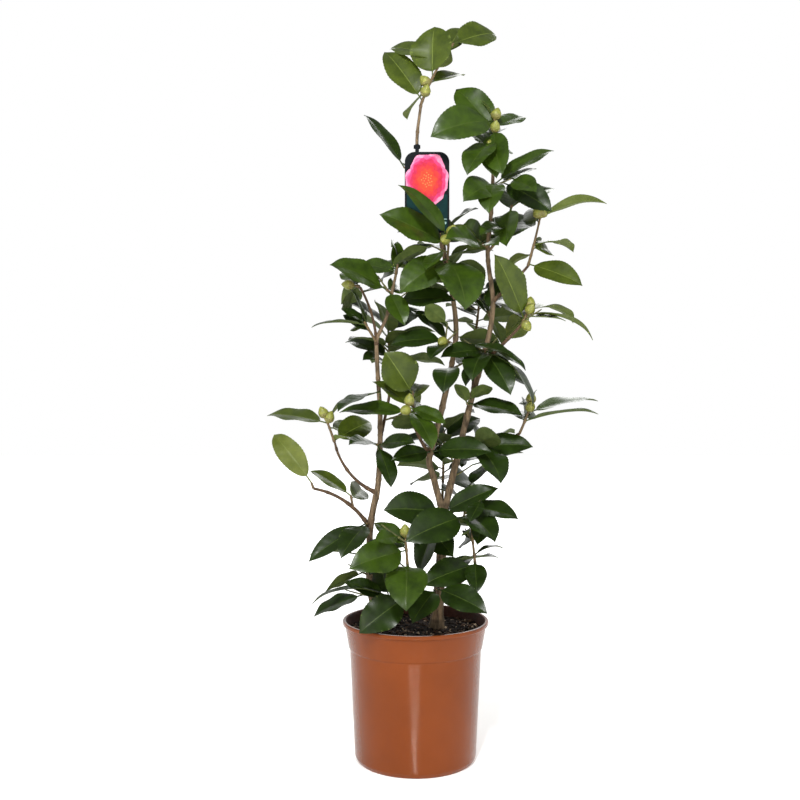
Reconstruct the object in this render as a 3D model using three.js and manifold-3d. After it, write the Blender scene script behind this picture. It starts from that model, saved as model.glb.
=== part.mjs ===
// A camellia shrub in its nursery pot, in millimetres with +Z up. The origin is the centre of the
// pot's flat underside, and the plant's best side faces -Y. Headings are degrees in the XY plane
// from +X, rises are degrees above the horizontal, and every piece keeps GAP to its neighbours.
import * as THREE from "three";
import { mergeVertices } from "three/addons/utils/BufferGeometryUtils.js";
import Module from "manifold-3d";

const wasm = await Module();
wasm.setup();

// Driving dimensions.
const GAP = 0.3;
const POT_HEIGHT = 180;
const POT_BASE_RADIUS = 79;
const POT_STEP_RADIUS = 85.5;
const POT_STEP_HEIGHT = 144;
const POT_NECK_RADIUS = 92.3;
const LIP_RADIUS = 95;
const LIP_HEIGHT = 5;
const WALL = 2.4;
const LIP_EDGE = 1;
const LIP_BAND = 3.9;
const STEP_EDGE = 1.5;
const BASE_CORNER = 6;
const DRAIN_RADIUS = 4.5;
const DRAIN_CIRCLE = 56;
const DRAIN_COUNT = 6;
const MIX_TOP = 167;
const GROUND = MIX_TOP + GAP;
const POT_SEGMENTS = 32;
const HOLE_SEGMENTS = 10;

const RING_SPACING = 22;
const BOUGH_RINGS = 6;
const BOUGH_SIDES = 5;
const FLARE_FALL = 14;
const BEND_STEPS = 6;

const TWIG_ROOT = 1.9;
const TWIG_TIP = 1.2;
const TWIG_RINGS = 3;
const TWIG_SIDES = 3;
const PETIOLE = 0.12;
const LEAF_WIDTH = 0.5;
const LEAF_FOLD = 14;
const LEAF_THICK = 0.02;
// Stations along a leaf: the share of its length and of its width there, from stalk to point.
const LEAF_STATIONS = [[0, 0.03], [PETIOLE, 0.07], [0.42, 1], [0.78, 0.66], [1, 0]];
const BUD_LENGTH = 17;
const BUD_RADIUS = 6.4;
const BUD_SIDES = 5;
// Stations along a bud: the share of its length and of its radius there.
const BUD_STATIONS = [[0, 0.25], [0.38, 1], [0.74, 0.72]];

const CARD_WIDTH = 58;
const CARD_TOP = 789;
const CARD_BOTTOM = 684;
const CARD_X = 15;
const CARD_Y = -6;
const CARD_THICK = 0.8;
const CARD_CORNER = 13;
const CARD_CHAMFER = 3;
const NECK_WIDTH = 5;
const NECK_SUNK = 12;
const RING_RADIUS = 4.4;
const RING_HEIGHT = 4;
const RING_ABOVE = 8;

// Upright stems: the points where each one bends, and its radius at its foot and tip.
const STEMS = [
  { name: "trunk", radii: [7.5, 5.6], flare: 4, sides: 8, points: [
    [28, 8, GROUND], [33, 5, 245], [36, 0, 322]] },
  { name: "stem_left", radii: [5.2, 1.8], flare: 2, sides: 7, points: [
    [-50, 6, GROUND], [-60, 4, 240], [-58, 0, 308], [-49, -4, 355], [-46, -3, 440], [-50, 0, 515],
    [-50, 0, 545], [-38, 4, 575], [-27, 6, 624]] },
  { name: "stem_middle", radii: [4.4, 1.8], flare: 0, sides: 7, points: [
    [36, 0, 318], [25, -2, 360], [18, -4, 388], [26, -2, 420], [37, 0, 465], [53, 2, 551],
    [49, 4, 600], [38, 4, 655], [22, 2, 718], [4, 0, 780], [2, 0, 806], [7, 0, 852]] },
  { name: "stem_right", radii: [4.8, 2.0], flare: 0, sides: 7, points: [
    [35, 2, 306], [44, 8, 345], [61, 10, 414], [72, 8, 460], [98, 8, 558], [102, 8, 597],
    [95, 6, 656], [100, 4, 720], [102, 0, 788]] },
];

// Side boughs: the limb each springs from and how high, then heading, rise, length and how far its
// rise changes by its tip, and its radius at its foot and tip.
const BOUGHS = [
  { name: "bough_far_left_low", on: "stem_left", at: 298, way: [178, 60, 94, -50], radii: [2.8, 1.7] },
  { name: "bough_far_left_high", on: "stem_left", at: 345, way: [174, 22, 90, 56], radii: [2.4, 1.4] },
  { name: "bough_left_upper", on: "stem_left", at: 538, way: [178, 88, 80, -28], radii: [1.9, 1.4] },
  { name: "bough_left_centre", on: "stem_middle", at: 396, way: [218, 44, 62, 30], radii: [2.4, 1.6] },
  { name: "bough_low_front", on: "trunk", at: 222, way: [237, 16, 86, 18], radii: [3.0, 2.0] },
  { name: "bough_low_left", on: "stem_left", at: 204, way: [-70, 12, 50, 8], radii: [2.6, 1.8] },
  { name: "bough_low_right", on: "trunk", at: 212, way: [-20, 24, 62, 24], radii: [3.0, 2.0] },
  { name: "bough_front_right", on: "trunk", at: 200, way: [-98, 24, 52, 12], radii: [2.6, 1.8] },
  { name: "bough_right_low", on: "trunk", at: 312, way: [-4, 36, 60, -6], radii: [3.0, 1.9] },
  { name: "bough_right_lower", on: "stem_right", at: 404, way: [8, -8, 84, 40], radii: [2.6, 1.7] },
  { name: "bough_right_mid", on: "stem_right", at: 514, way: [-12, 40, 73, 8], radii: [2.6, 1.8] },
  { name: "bough_right_outer", on: "stem_right", at: 596, way: [4, 42, 66, 6], radii: [2.4, 1.7] },
  { name: "bough_back_low", on: "trunk", at: 255, way: [86, 30, 104, 34], radii: [3.0, 1.9] },
  { name: "bough_back_left", on: "stem_left", at: 420, way: [78, 34, 92, 24], radii: [2.4, 1.7] },
  { name: "bough_back_right", on: "stem_right", at: 474, way: [84, 38, 92, 24], radii: [2.4, 1.7] },
];

// Leafy sprays: the limb each grows on and how far up it (a height on a stem, a share of the
// length on a bough), its own stem as heading, rise, length and bend, then its leaves as place on
// that stem, heading, rise, length, roll, droop and, where it isn't LEAF_WIDTH, the width as a
// share of the length. Buds are place, heading and rise. A row may say how many leaves grow behind
// it in place of BEHIND.count.
const SPRAYS = [
  { name: "spray_top", on: "stem_middle", at: 852, twig: [0, 70, 92, -16],
    leaves: [
      [0.06, 145, 52, 100, -45, 16, 0.45],
      [0.34, 47, 22, 76, 20, 12],
      [0.42, 80, 80, 74, -16, 14, 0.84],
      [0.72, 140, 22, 100, -40, 14, 0.42],
      [0.8, 62, 46, 74, 20, 10, 0.45],
      [0.98, 36, 22, 82, 55, 24, 0.56]],
    buds: [[0.12, -50, 62], [0.3, 170, 50]] },
  { name: "spray_beside_label", on: "stem_middle", at: 762, twig: [178, 20, 26, 0], behind: 0,
    leaves: [[0.95, 150, 53, 100, -15, 10, 0.32], [0.4, 92, 18, 72, 0, 30]], buds: [] },
  { name: "spray_right_tip", on: "stem_right", at: 788, twig: [60, 86, 48, 0],
    leaves: [
      [0.35, 232, -40, 84, -14, 36, 0.5],
      [0.3, -84, -44, 74, 30, 30],
      [0.12, 168, 34, 86, -30, 14, 0.36],
      [0.6, 150, 50, 88, -50, 24, 0.56],
      [0.9, 205, -17, 100, -60, 40, 0.56],
      [0.7, -92, -60, 84, 20, 20],
      [0.75, 44, 22, 70, 30, 14],
      [0.5, 85, 18, 74, 0, 30],
      [0.95, 160, 58, 32, 20, 10, 0.3]],
    buds: [[0.95, 10, 72], [0.6, -80, 50], [0.2, 235, 10]] },
  { name: "spray_right_high", on: "stem_right", at: 738, twig: [-80, 36, 18, 0],
    leaves: [
      [0.8, 17, 32, 100, 28, 20, 0.36],
      [0.6, 232, -22, 78, -45, 46, 0.58],
      [0.95, 256, -40, 76, 0, 40, 0.5]],
    buds: [] },
  { name: "spray_right_shoulder", on: "stem_right", at: 660, twig: [4, 48, 72, 30],
    leaves: [
      [0.24, 46, 32, 86, 20, 14, 0.72],
      [0.88, 85, 37, 66, 0, 10],
      [0.97, 34, 23, 86, 25, 20, 0.44],
      [0.95, -110, -60, 64, 20, 20, 0.64],
      [0.6, 226, -18, 56, -30, 24],
      [0.4, 110, -8, 70, 0, 30]],
    buds: [] },
  { name: "spray_right_outer", on: "bough_right_outer", at: 1, twig: [0, 74, 68, 4],
    leaves: [
      [0.04, -36, -22, 84, 46, 16, 0.46],
      [0.42, 38, 0, 80, 6, 44],
      [0.22, 113, -8, 60, 6, 40, 0.36],
      [0.95, -20, 11, 92, -8, 46, 0.4]],
    buds: [[0.96, 190, 64], [0.98, 0, 58]] },
  { name: "spray_right_mid", on: "bough_right_mid", at: 1, twig: [10, 62, 24, 0],
    leaves: [
      [0.3, 218, 58, 96, -95, 14, 0.5],
      [0.85, 32, -8, 84, 4, 66, 0.42],
      [0.6, -16, -20, 98, 0, 60, 0.42],
      [0.2, 104, 24, 74, 0, 30]],
    buds: [[0.98, 60, 78], [0.7, -60, 40], [0.2, -40, -50]] },
  { name: "spray_right_lower", on: "bough_right_lower", at: 1, twig: [20, 62, 44, 10],
    leaves: [
      [0.7, 10, 11, 100, 12, 16, 0.42],
      [0.42, -12, 8, 98, -4, 26, 0.4],
      [0.4, 95, 10, 70, 0, 30]],
    buds: [[0.98, 60, 80], [0.75, -70, 50]] },
  { name: "spray_right_core", on: "stem_right", at: 528, twig: [-90, 8, 14, 0], behind: 1,
    leaves: [
      [0.9, -24, -46, 100, -6, 50, 0.42],
      [0.6, -60, -44, 80, 20, 30],
      [0.7, -140, -50, 58, 0, 20, 0.56],
      [0.5, -110, -30, 76, 0, 44],
      [0.8, 204, -6, 66, -40, 30]],
    buds: [] },
  { name: "spray_right_level", on: "stem_right", at: 458, twig: [-110, 16, 14, 0], behind: 1,
    leaves: [[0.9, -31, -9, 80, 30, 16, 0.44], [0.9, 240, 40, 42, 0, 20]], buds: [] },
  { name: "spray_right_hanging", on: "bough_right_lower", at: 0.22, twig: [-70, 10, 12, 0], behind: 1,
    leaves: [[0.9, -68, -30, 82, 0, 40, 0.56], [0.9, -14, 2, 74, 50, 20, 0.5]], buds: [] },
  { name: "spray_right_skirt", on: "bough_right_low", at: 0.62, twig: [-100, -28, 34, 0],
    leaves: [
      [0.95, 216, -14, 96, -50, 30, 0.54],
      [0.4, -30, -6, 76, 30, 30],
      [0.7, -62, -20, 78, 10, 30, 0.56]],
    buds: [] },
  { name: "spray_fork", on: "trunk", at: 316, twig: [-90, 20, 14, 0],
    leaves: [
      [0.9, 206, 6, 86, -56, 24, 0.6],
      [0.95, -16, 26, 80, 60, 20, 0.42],
      [0.8, 215, -62, 84, 0, 20, 0.56]],
    buds: [] },
  { name: "spray_centre_front", on: "stem_middle", at: 640, twig: [272, 45, 48, 10], behind: 0,
    leaves: [
      [0.3, 205, -34, 84, -50, 30, 0.6],
      [0.7, 190, 24, 98, -56, 16, 0.54],
      [0.25, -72, -46, 98, 0, 45, 0.68],
      [0.95, 200, 44, 94, -62, 24, 0.34]],
    buds: [[0.9, 230, -10], [0.98, -30, 60]] },
  { name: "spray_centre_right", on: "stem_right", at: 666, twig: [225, 20, 14, 0],
    leaves: [[0.9, 228, 0, 74, -50, 24, 0.55], [0.5, -76, -6, 54, 30, 30]], buds: [] },
  { name: "spray_left_tip", on: "stem_left", at: 624, twig: [60, 70, 24, 0],
    leaves: [
      [0.4, 86, 52, 62, 20, 10, 0.32],
      [0.6, 125, 14, 64, -20, 20, 0.5],
      [0.5, 160, 14, 54, -44, 12, 0.58],
      [0.9, 30, 30, 66, 20, 20]],
    buds: [] },
  { name: "spray_left_high", on: "stem_left", at: 606, twig: [200, 30, 10, 0],
    leaves: [[0.9, 203, 22, 84, -50, 24, 0.62], [0.5, -60, -48, 62, 20, 20]], buds: [] },
  { name: "spray_left_upper", on: "bough_left_upper", at: 1, twig: [182, 16, 8, 0],
    leaves: [[0.2, 110, 26, 64, -20, 20]],
    buds: [[0.98, 184, 4]] },
  { name: "spray_left_node", on: "stem_left", at: 541, twig: [220, 52, 34, 0],
    leaves: [
      [0.5, 146, 30, 52, -30, 14, 0.42],
      [0.7, 200, 66, 56, -30, 10, 0.4],
      [0.95, 150, 30, 42, -20, 10],
      [0.85, 205, -2, 76, 0, 24, 0.34]],
    buds: [] },
  { name: "spray_centre", on: "stem_middle", at: 538, twig: [215, 20, 18, 0], behind: 1,
    leaves: [
      [0.9, 190, -4, 74, -40, 30],
      [0.6, 158, 40, 70, -20, 24, 0.42],
      [0.4, -120, -20, 62, 0, 30, 0.5]],
    buds: [[0.98, 240, -20]] },
  { name: "spray_centre_low", on: "stem_middle", at: 506, twig: [-100, 10, 12, 0], behind: 1,
    leaves: [[0.9, -100, -27, 72, 0, 50, 0.5]], buds: [] },
  { name: "spray_left_round", on: "bough_left_centre", at: 0.76, twig: [100, 76, 45, 0],
    leaves: [
      [0.9, 196, 56, 66, -78, 12, 0.86],
      [0.5, 172, 34, 64, -34, 20, 0.46],
      [0.7, 80, 20, 70, 0, 24]],
    buds: [] },
  { name: "spray_left_level", on: "bough_left_centre", at: 1, twig: [240, 60, 12, 0],
    leaves: [
      [0.3, 176, 1, 92, -32, 8, 0.38],
      [0.5, -60, -40, 74, 0, 34, 0.46],
      [0.8, -14, -22, 52, 40, 20]],
    buds: [[0.98, 300, 80], [0.6, 225, -10]] },
  { name: "spray_left_dark", on: "stem_left", at: 404, twig: [-110, 24, 14, 0], behind: 1,
    leaves: [
      [0.9, 236, 4, 60, -24, 20],
      [0.6, -40, 6, 62, 40, 24],
      [0.8, -54, -58, 62, 0, 20]],
    buds: [] },
  { name: "spray_middle_low", on: "stem_middle", at: 398, twig: [-80, 10, 12, 0], behind: 1,
    leaves: [[0.5, 206, -8, 58, -50, 20], [0.9, -25, 2, 82, 50, 24, 0.45]], buds: [] },
  { name: "spray_far_left_high", on: "bough_far_left_high", at: 1, twig: [150, 66, 36, 0],
    leaves: [
      [0.74, 153, 7, 98, -24, 14, 0.38],
      [0.05, 50, 18, 78, 46, 24, 0.5],
      [0.1, -60, 4, 50, -10, 20, 0.4]],
    buds: [[0.75, 20, 70], [0.95, 190, 64]] },
  { name: "spray_far_left_low", on: "bough_far_left_low", at: 1, twig: [178, 70, 9, 0], behind: 1,
    leaves: [[0.9, 152, 46, 92, -55, 56, 0.37]], buds: [] },
  { name: "spray_far_left_inner", on: "bough_far_left_low", at: 0.38, twig: [120, 66, 18, 0], behind: 1,
    leaves: [[0.9, 155, 28, 70, -20, 14, 0.38]], buds: [] },
  { name: "spray_low_left", on: "stem_left", at: 304, twig: [235, 10, 12, 0],
    leaves: [
      [0.9, 209, -27, 92, -34, 20, 0.34],
      [0.5, 240, -28, 74, -10, 30, 0.52]],
    buds: [] },
  { name: "spray_right_inner", on: "stem_right", at: 572, twig: [110, 40, 20, 0], behind: 1,
    leaves: [
      [0.9, 60, 50, 66, 0, 14, 0.34],
      [0.5, 150, 36, 62, 0, 20, 0.4],
      [0.7, 60, -40, 62, 20, 20, 0.4]],
    buds: [] },
  { name: "spray_low_front", on: "bough_low_front", at: 1, twig: [250, 78, 40, 0],
    leaves: [
      [0.1, -92, -33, 82, 0, 50, 0.66],
      [0.55, 215, -9, 86, -56, 30, 0.54],
      [0.7, 150, 30, 54, -30, 20]],
    buds: [[0.98, 240, 84]] },
  { name: "spray_rim_left", on: "bough_low_left", at: 1, twig: [-20, 2, 30, 0],
    leaves: [
      [0.15, 194, -1, 104, 0, 60, 0.24],
      [0.95, 212, -28, 78, -50, 30, 0.6],
      [0.05, 184, 20, 56, -40, 20]],
    buds: [] },
  { name: "spray_low_right", on: "bough_low_right", at: 1, twig: [176, 84, 56, 0],
    leaves: [
      [0.08, 212, -12, 84, -46, 24],
      [0.3, 20, 10, 46, 0, 60, 0.34],
      [0.15, -92, -30, 60, 0, 30],
      [0.6, 80, 0, 76, 0, 34]],
    buds: [] },
  { name: "spray_rim_right", on: "bough_front_right", at: 1, twig: [-70, 20, 8, 0],
    leaves: [[0.9, -42, -13, 82, 40, 24, 0.48], [0.6, 236, -30, 64, -16, 24, 0.62]],
    buds: [] },
];

// The back and the inside, which grow by the rule alone: the same rows with a leaf count in place
// of the leaves.
const FILLED = [
  { name: "spray_back_low", on: "bough_back_low", at: 1, twig: [84, 62, 100, 10], count: 13, seed: 11 },
  { name: "spray_back_left", on: "bough_back_left", at: 1, twig: [96, 60, 92, 10], count: 12, seed: 12 },
  { name: "spray_back_right", on: "bough_back_right", at: 1, twig: [72, 60, 92, 10], count: 12, seed: 13 },
  { name: "spray_back_high", on: "stem_middle", at: 596, twig: [96, 30, 136, 44], count: 13, seed: 14 },
];

const radians = THREE.MathUtils.degToRad;

function direction(heading, rise) {
  const across = Math.cos(radians(rise));
  return new THREE.Vector3(
    across * Math.cos(radians(heading)), across * Math.sin(radians(heading)), Math.sin(radians(rise)));
}

// Repeatable numbers from 0 to 1, by the minimal standard generator.
const MODULUS = 2147483647;
const MULTIPLIER = 16807;
const SEED_STEP = 7919;

function seeded(seed) {
  let state = seed * SEED_STEP;
  return () => {
    state = (state * MULTIPLIER) % MODULUS;
    return state / MODULUS;
  };
}

// A closed skin over rings of equal length, its last ring drawn to a point when it has one point.
function loft(rings) {
  const positions = [];
  const indices = [];
  const count = rings[0].length;
  for (const ring of rings) {
    for (const point of ring) positions.push(point.x, point.y, point.z);
  }
  for (let k = 1; k < count - 1; k++) indices.push(0, k + 1, k);
  for (let i = 0; i < rings.length - 1; i++) {
    const low = i * count;
    const high = low + count;
    for (let k = 0; k < count; k++) {
      const next = (k + 1) % count;
      if (rings[i + 1].length === 1) {
        indices.push(low + k, low + next, high);
      } else {
        indices.push(low + k, low + next, high + next, low + k, high + next, high + k);
      }
    }
  }
  const last = (rings.length - 1) * count;
  if (rings[rings.length - 1].length > 1) {
    for (let k = 1; k < count - 1; k++) indices.push(last, last + k, last + k + 1);
  }
  const geometry = new THREE.BufferGeometry();
  geometry.setAttribute("position", new THREE.Float32BufferAttribute(positions, 3));
  geometry.setIndex(indices);
  return geometry;
}

function solid(geometry) {
  geometry.deleteAttribute("normal");
  geometry.deleteAttribute("uv");
  const merged = mergeVertices(geometry, 1e-4);
  const vertProperties = new Float32Array(merged.attributes.position.array);
  const triVerts = new Uint32Array(merged.index.array);
  return new wasm.Manifold(new wasm.Mesh({ numProp: 3, vertProperties, triVerts }));
}

// A limb is a curve with a radius along it. Its rings turn with the curve and don't twist.
function limbRings(limb, extra = 0) {
  const steps = limb.steps;
  const rings = [];
  let side = new THREE.Vector3(0, 1, 0);
  for (let i = 0; i <= steps; i++) {
    const share = i / steps;
    const along = limb.curve.getTangentAt(share);
    side = side.clone().addScaledVector(along, -side.dot(along)).normalize();
    const up = along.clone().cross(side);
    const centre = limb.curve.getPointAt(share);
    const radius = limbRadius(limb, share) + extra;
    const ring = [];
    for (let k = 0; k < limb.sides; k++) {
      const turn = (2 * Math.PI * k) / limb.sides;
      ring.push(centre.clone()
        .addScaledVector(side, radius * Math.cos(turn))
        .addScaledVector(up, radius * Math.sin(turn)));
    }
    rings.push(ring);
  }
  if (limb.flat) {
    for (const point of rings[0]) point.z = GROUND;
  }
  return rings;
}

function limbRadius(limb, share) {
  const taper = THREE.MathUtils.lerp(limb.radii[0], limb.radii[1], share);
  return taper + (limb.flare || 0) * Math.exp(-FLARE_FALL * share);
}

// A curve that starts in one direction and changes its rise evenly by its tip.
function bending(start, heading, rise, length, bend) {
  const points = [start.clone()];
  for (let i = 0; i < BEND_STEPS; i++) {
    const way = direction(heading, rise + (bend * (i + 0.5)) / BEND_STEPS);
    points.push(points[i].clone().addScaledVector(way, length / BEND_STEPS));
  }
  return new THREE.CatmullRomCurve3(points);
}

const limbs = new Map();
const HALVINGS = 30;

// A point on a limb: at a height on a stem, at a share of the length on a bough.
function spot(name, at) {
  const limb = limbs.get(name);
  if (!limb.upright) return limb.curve.getPointAt(at);
  let low = 0;
  let high = 1;
  for (let i = 0; i < HALVINGS; i++) {
    const middle = (low + high) / 2;
    if (limb.curve.getPointAt(middle).z < at) low = middle;
    else high = middle;
  }
  return limb.curve.getPointAt((low + high) / 2);
}

for (const row of STEMS) {
  const curve = new THREE.CatmullRomCurve3(row.points.map((point) => new THREE.Vector3(...point)));
  const steps = Math.round(curve.getLength() / RING_SPACING);
  const limb = { ...row, curve, steps, upright: true, flat: row.points[0][2] === GROUND };
  limbs.set(row.name, limb);
}
for (const row of BOUGHS) {
  const curve = bending(spot(row.on, row.at), ...row.way);
  limbs.set(row.name, { ...row, curve, steps: BOUGH_RINGS, sides: BOUGH_SIDES });
}

// A limb that leaves another near its tip can be cut in two by it: the shorter piece is dropped.
function largest(body) {
  return body.decompose().reduce((kept, piece) => (piece.volume() > kept.volume() ? piece : kept));
}

// Each limb is cut back from those before it, so that a saddle of GAP is left where it springs.
const pieces = [];
const grown = [];

function clearOfLimbs(body) {
  return largest(grown.reduce((rest, limb) => rest.subtract(limb), body));
}

for (const limb of limbs.values()) {
  pieces.push({ name: limb.name, solid: clearOfLimbs(solid(loft(limbRings(limb)))), kind: "bark" });
  grown.push(solid(loft(limbRings(limb, GAP))));
}

// The pot: a lathed wall with a step, a neck and a lip, and drain holes round its flat underside.
function potProfile() {
  const points = [[0, 0], [POT_BASE_RADIUS - BASE_CORNER, 0]];
  for (const turn of [30, 60, 90]) {
    points.push([
      POT_BASE_RADIUS - BASE_CORNER + BASE_CORNER * Math.sin(radians(turn)),
      BASE_CORNER - BASE_CORNER * Math.cos(radians(turn))]);
  }
  points.push(
    [POT_STEP_RADIUS, POT_STEP_HEIGHT],
    [POT_STEP_RADIUS + STEP_EDGE, POT_STEP_HEIGHT + STEP_EDGE],
    [POT_NECK_RADIUS, POT_HEIGHT - LIP_HEIGHT],
    [LIP_RADIUS - LIP_EDGE, POT_HEIGHT - LIP_HEIGHT],
    [LIP_RADIUS, POT_HEIGHT - LIP_HEIGHT + LIP_EDGE],
    [LIP_RADIUS, POT_HEIGHT - LIP_EDGE],
    [LIP_RADIUS - LIP_EDGE, POT_HEIGHT],
    [LIP_RADIUS - LIP_BAND, POT_HEIGHT],
    [POT_NECK_RADIUS - WALL, POT_HEIGHT - LIP_HEIGHT],
    [POT_STEP_RADIUS - WALL, POT_STEP_HEIGHT],
    [POT_BASE_RADIUS - WALL, BASE_CORNER],
    [POT_BASE_RADIUS - BASE_CORNER, WALL],
    [0, WALL]);
  return points;
}

function lathe(points) {
  const profile = points.map(([radius, height]) => new THREE.Vector2(radius, height));
  return new THREE.LatheGeometry(profile, POT_SEGMENTS).rotateX(Math.PI / 2);
}

function potSolid() {
  let pot = solid(lathe(potProfile()));
  for (let k = 0; k < DRAIN_COUNT; k++) {
    const turn = (2 * Math.PI * k) / DRAIN_COUNT;
    const hole = new THREE.CylinderGeometry(DRAIN_RADIUS, DRAIN_RADIUS, 4 * WALL, HOLE_SEGMENTS);
    hole.rotateX(Math.PI / 2);
    hole.translate(DRAIN_CIRCLE * Math.cos(turn), DRAIN_CIRCLE * Math.sin(turn), 0);
    pot = pot.subtract(solid(hole));
  }
  return pot;
}

// The potting mix fills the pot up to MIX_TOP, clear of its wall by GAP.
function mixSolid() {
  const slope = (POT_NECK_RADIUS - POT_STEP_RADIUS) / (POT_HEIGHT - LIP_HEIGHT - POT_STEP_HEIGHT);
  const topRadius = POT_STEP_RADIUS + slope * (MIX_TOP - POT_STEP_HEIGHT) - WALL - 2 * GAP;
  return solid(lathe([
    [0, WALL + GAP],
    [POT_BASE_RADIUS - BASE_CORNER - 2 * GAP, WALL + GAP],
    [POT_BASE_RADIUS - WALL - 2 * GAP, BASE_CORNER + GAP],
    [POT_STEP_RADIUS - WALL - 2 * GAP, POT_STEP_HEIGHT],
    [topRadius, MIX_TOP],
    [0, MIX_TOP]]));
}

// The plant label: a card with rounded top corners and a neck that ends in a ring round the stem.
function labelSolid() {
  const half = CARD_WIDTH / 2;
  const tall = CARD_TOP - CARD_BOTTOM;
  const round = tall - CARD_CORNER;
  const outline = new THREE.Shape();
  outline.moveTo(-half, CARD_CHAMFER).lineTo(-half, round)
    .absarc(-half + CARD_CORNER, round, CARD_CORNER, Math.PI, Math.PI / 2, true)
    .absarc(half - CARD_CORNER, round, CARD_CORNER, Math.PI / 2, 0, true)
    .lineTo(half, CARD_CHAMFER).lineTo(half - CARD_CHAMFER, 0).lineTo(CARD_CHAMFER - half, 0).closePath();
  const sheet = { depth: CARD_THICK, bevelEnabled: false, curveSegments: 5 };
  const card = new THREE.ExtrudeGeometry(outline, sheet);
  card.rotateX(Math.PI / 2).translate(CARD_X, CARD_Y, CARD_BOTTOM);

  const stem = spot("stem_middle", CARD_TOP + RING_ABOVE);
  const back = CARD_Y - CARD_THICK;
  const neckTop = stem.z + RING_HEIGHT / 2;
  const neckFoot = CARD_TOP - NECK_SUNK;
  const neck = new THREE.BoxGeometry(NECK_WIDTH, CARD_THICK, neckTop - neckFoot);
  neck.translate(stem.x, (CARD_Y + back) / 2, (neckTop + neckFoot) / 2);
  const bridge = new THREE.BoxGeometry(NECK_WIDTH / 2, stem.y - back, RING_HEIGHT);
  bridge.translate(stem.x, (stem.y + back) / 2, stem.z);
  const ring = new THREE.CylinderGeometry(RING_RADIUS, RING_RADIUS, RING_HEIGHT, HOLE_SEGMENTS);
  ring.rotateX(Math.PI / 2).translate(stem.x, stem.y, stem.z);
  return solid(card).add(solid(neck)).add(solid(bridge)).add(solid(ring))
    .subtract(solid(loft(limbRings(limbs.get("stem_middle"), GAP))));
}

pieces.push(
  { name: "pot", solid: potSolid(), kind: "pot" },
  { name: "potting_mix", solid: mixSolid(), kind: "mix" },
  { name: "label", solid: labelSolid(), kind: "label" });

// A leaf: a short stalk and a folded blade that arches about its chord, from the heart of its twig.
function leafFrame(heading, rise, roll) {
  const chord = direction(heading, rise);
  const level = new THREE.Vector3(0, 0, 1).addScaledVector(chord, -chord.z).normalize();
  const side = chord.clone().cross(level);
  const face = level.clone().multiplyScalar(Math.cos(radians(roll)))
    .addScaledVector(side, Math.sin(radians(roll)));
  return { chord, face };
}

function leafRings(root, leaf, extra = 0) {
  const [, heading, rise, length, roll, droop, width = LEAF_WIDTH] = leaf;
  const { chord, face } = leafFrame(heading, rise, roll);
  const across = chord.clone().cross(face);
  const fold = radians(LEAF_FOLD);
  const rings = [];
  const centre = root.clone();
  let before = 0;
  for (const [share, wide] of LEAF_STATIONS) {
    const turn = radians(droop) * (0.5 - (share + before) / 2);
    centre.addScaledVector(chord, length * (share - before) * Math.cos(turn));
    centre.addScaledVector(face, length * (share - before) * Math.sin(turn));
    before = share;
    const lean = radians(droop) * (0.5 - share);
    const up = face.clone().multiplyScalar(Math.cos(lean)).addScaledVector(chord, -Math.sin(lean));
    if (wide === 0) {
      rings.push([centre.clone()]);
      continue;
    }
    const half = (length * width * wide) / 2 + extra;
    const thick = (length * LEAF_THICK) / 2 + extra;
    const edge = (sign) => centre.clone()
      .addScaledVector(across, sign * half * Math.cos(fold))
      .addScaledVector(up, half * Math.sin(fold));
    const upper = centre.clone().addScaledVector(up, thick);
    const under = centre.clone().addScaledVector(up, -thick);
    rings.push([edge(-1), upper, edge(1), under]);
  }
  return rings;
}

function budRings(root, heading, rise) {
  const along = direction(heading, rise);
  const side = new THREE.Vector3(-Math.sin(radians(heading)), Math.cos(radians(heading)), 0);
  const up = along.clone().cross(side);
  const rings = [];
  for (const [share, wide] of BUD_STATIONS) {
    const centre = root.clone().addScaledVector(along, BUD_LENGTH * share);
    const ring = [];
    for (let k = 0; k < BUD_SIDES; k++) {
      const turn = (2 * Math.PI * k) / BUD_SIDES;
      ring.push(centre.clone()
        .addScaledVector(side, BUD_RADIUS * wide * Math.cos(turn))
        .addScaledVector(up, BUD_RADIUS * wide * Math.sin(turn)));
    }
    rings.push(ring);
  }
  rings.push([root.clone().addScaledVector(along, BUD_LENGTH)]);
  return rings;
}

// Leaves that the rule sets: one to a joint from the first to the last place on the twig, each
// turned on by the golden angle from the last, the upper ones rising more.
const GOLDEN = 137.5;
const RULE = {
  first: 0.25, last: 0.98, jitter: 20, lift: 26, drop: 12, lift_spread: 22,
  length: 66, length_spread: 18, roll: 44, droop: 20, droop_spread: 20,
};

function ruledLeaves(row) {
  const random = seeded(row.seed);
  const leaves = [];
  for (let i = 0; i < row.count; i++) {
    const place = RULE.first + ((RULE.last - RULE.first) * i) / (row.count - 1);
    const heading = row.twig[0] + GOLDEN * i + RULE.jitter * random();
    const rise = RULE.lift * place - RULE.drop + RULE.lift_spread * random();
    const length = RULE.length + RULE.length_spread * random();
    const roll = RULE.roll * (2 * random() - 1);
    leaves.push([place, heading, rise, length, roll, RULE.droop + RULE.droop_spread * random()]);
  }
  return leaves;
}

// Leaves behind a spray: they head away from the plant's best side and turn their faces to its
// flanks, one to each side in turn.
const BEHIND = {
  count: 2, first: 0.1, last: 0.95, heading: 90, heading_spread: 36, rise: 6, rise_spread: 32,
  length: 58, length_spread: 20, roll: 34, roll_spread: 26, droop: 14, droop_spread: 26, seed: 500,
};

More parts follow.
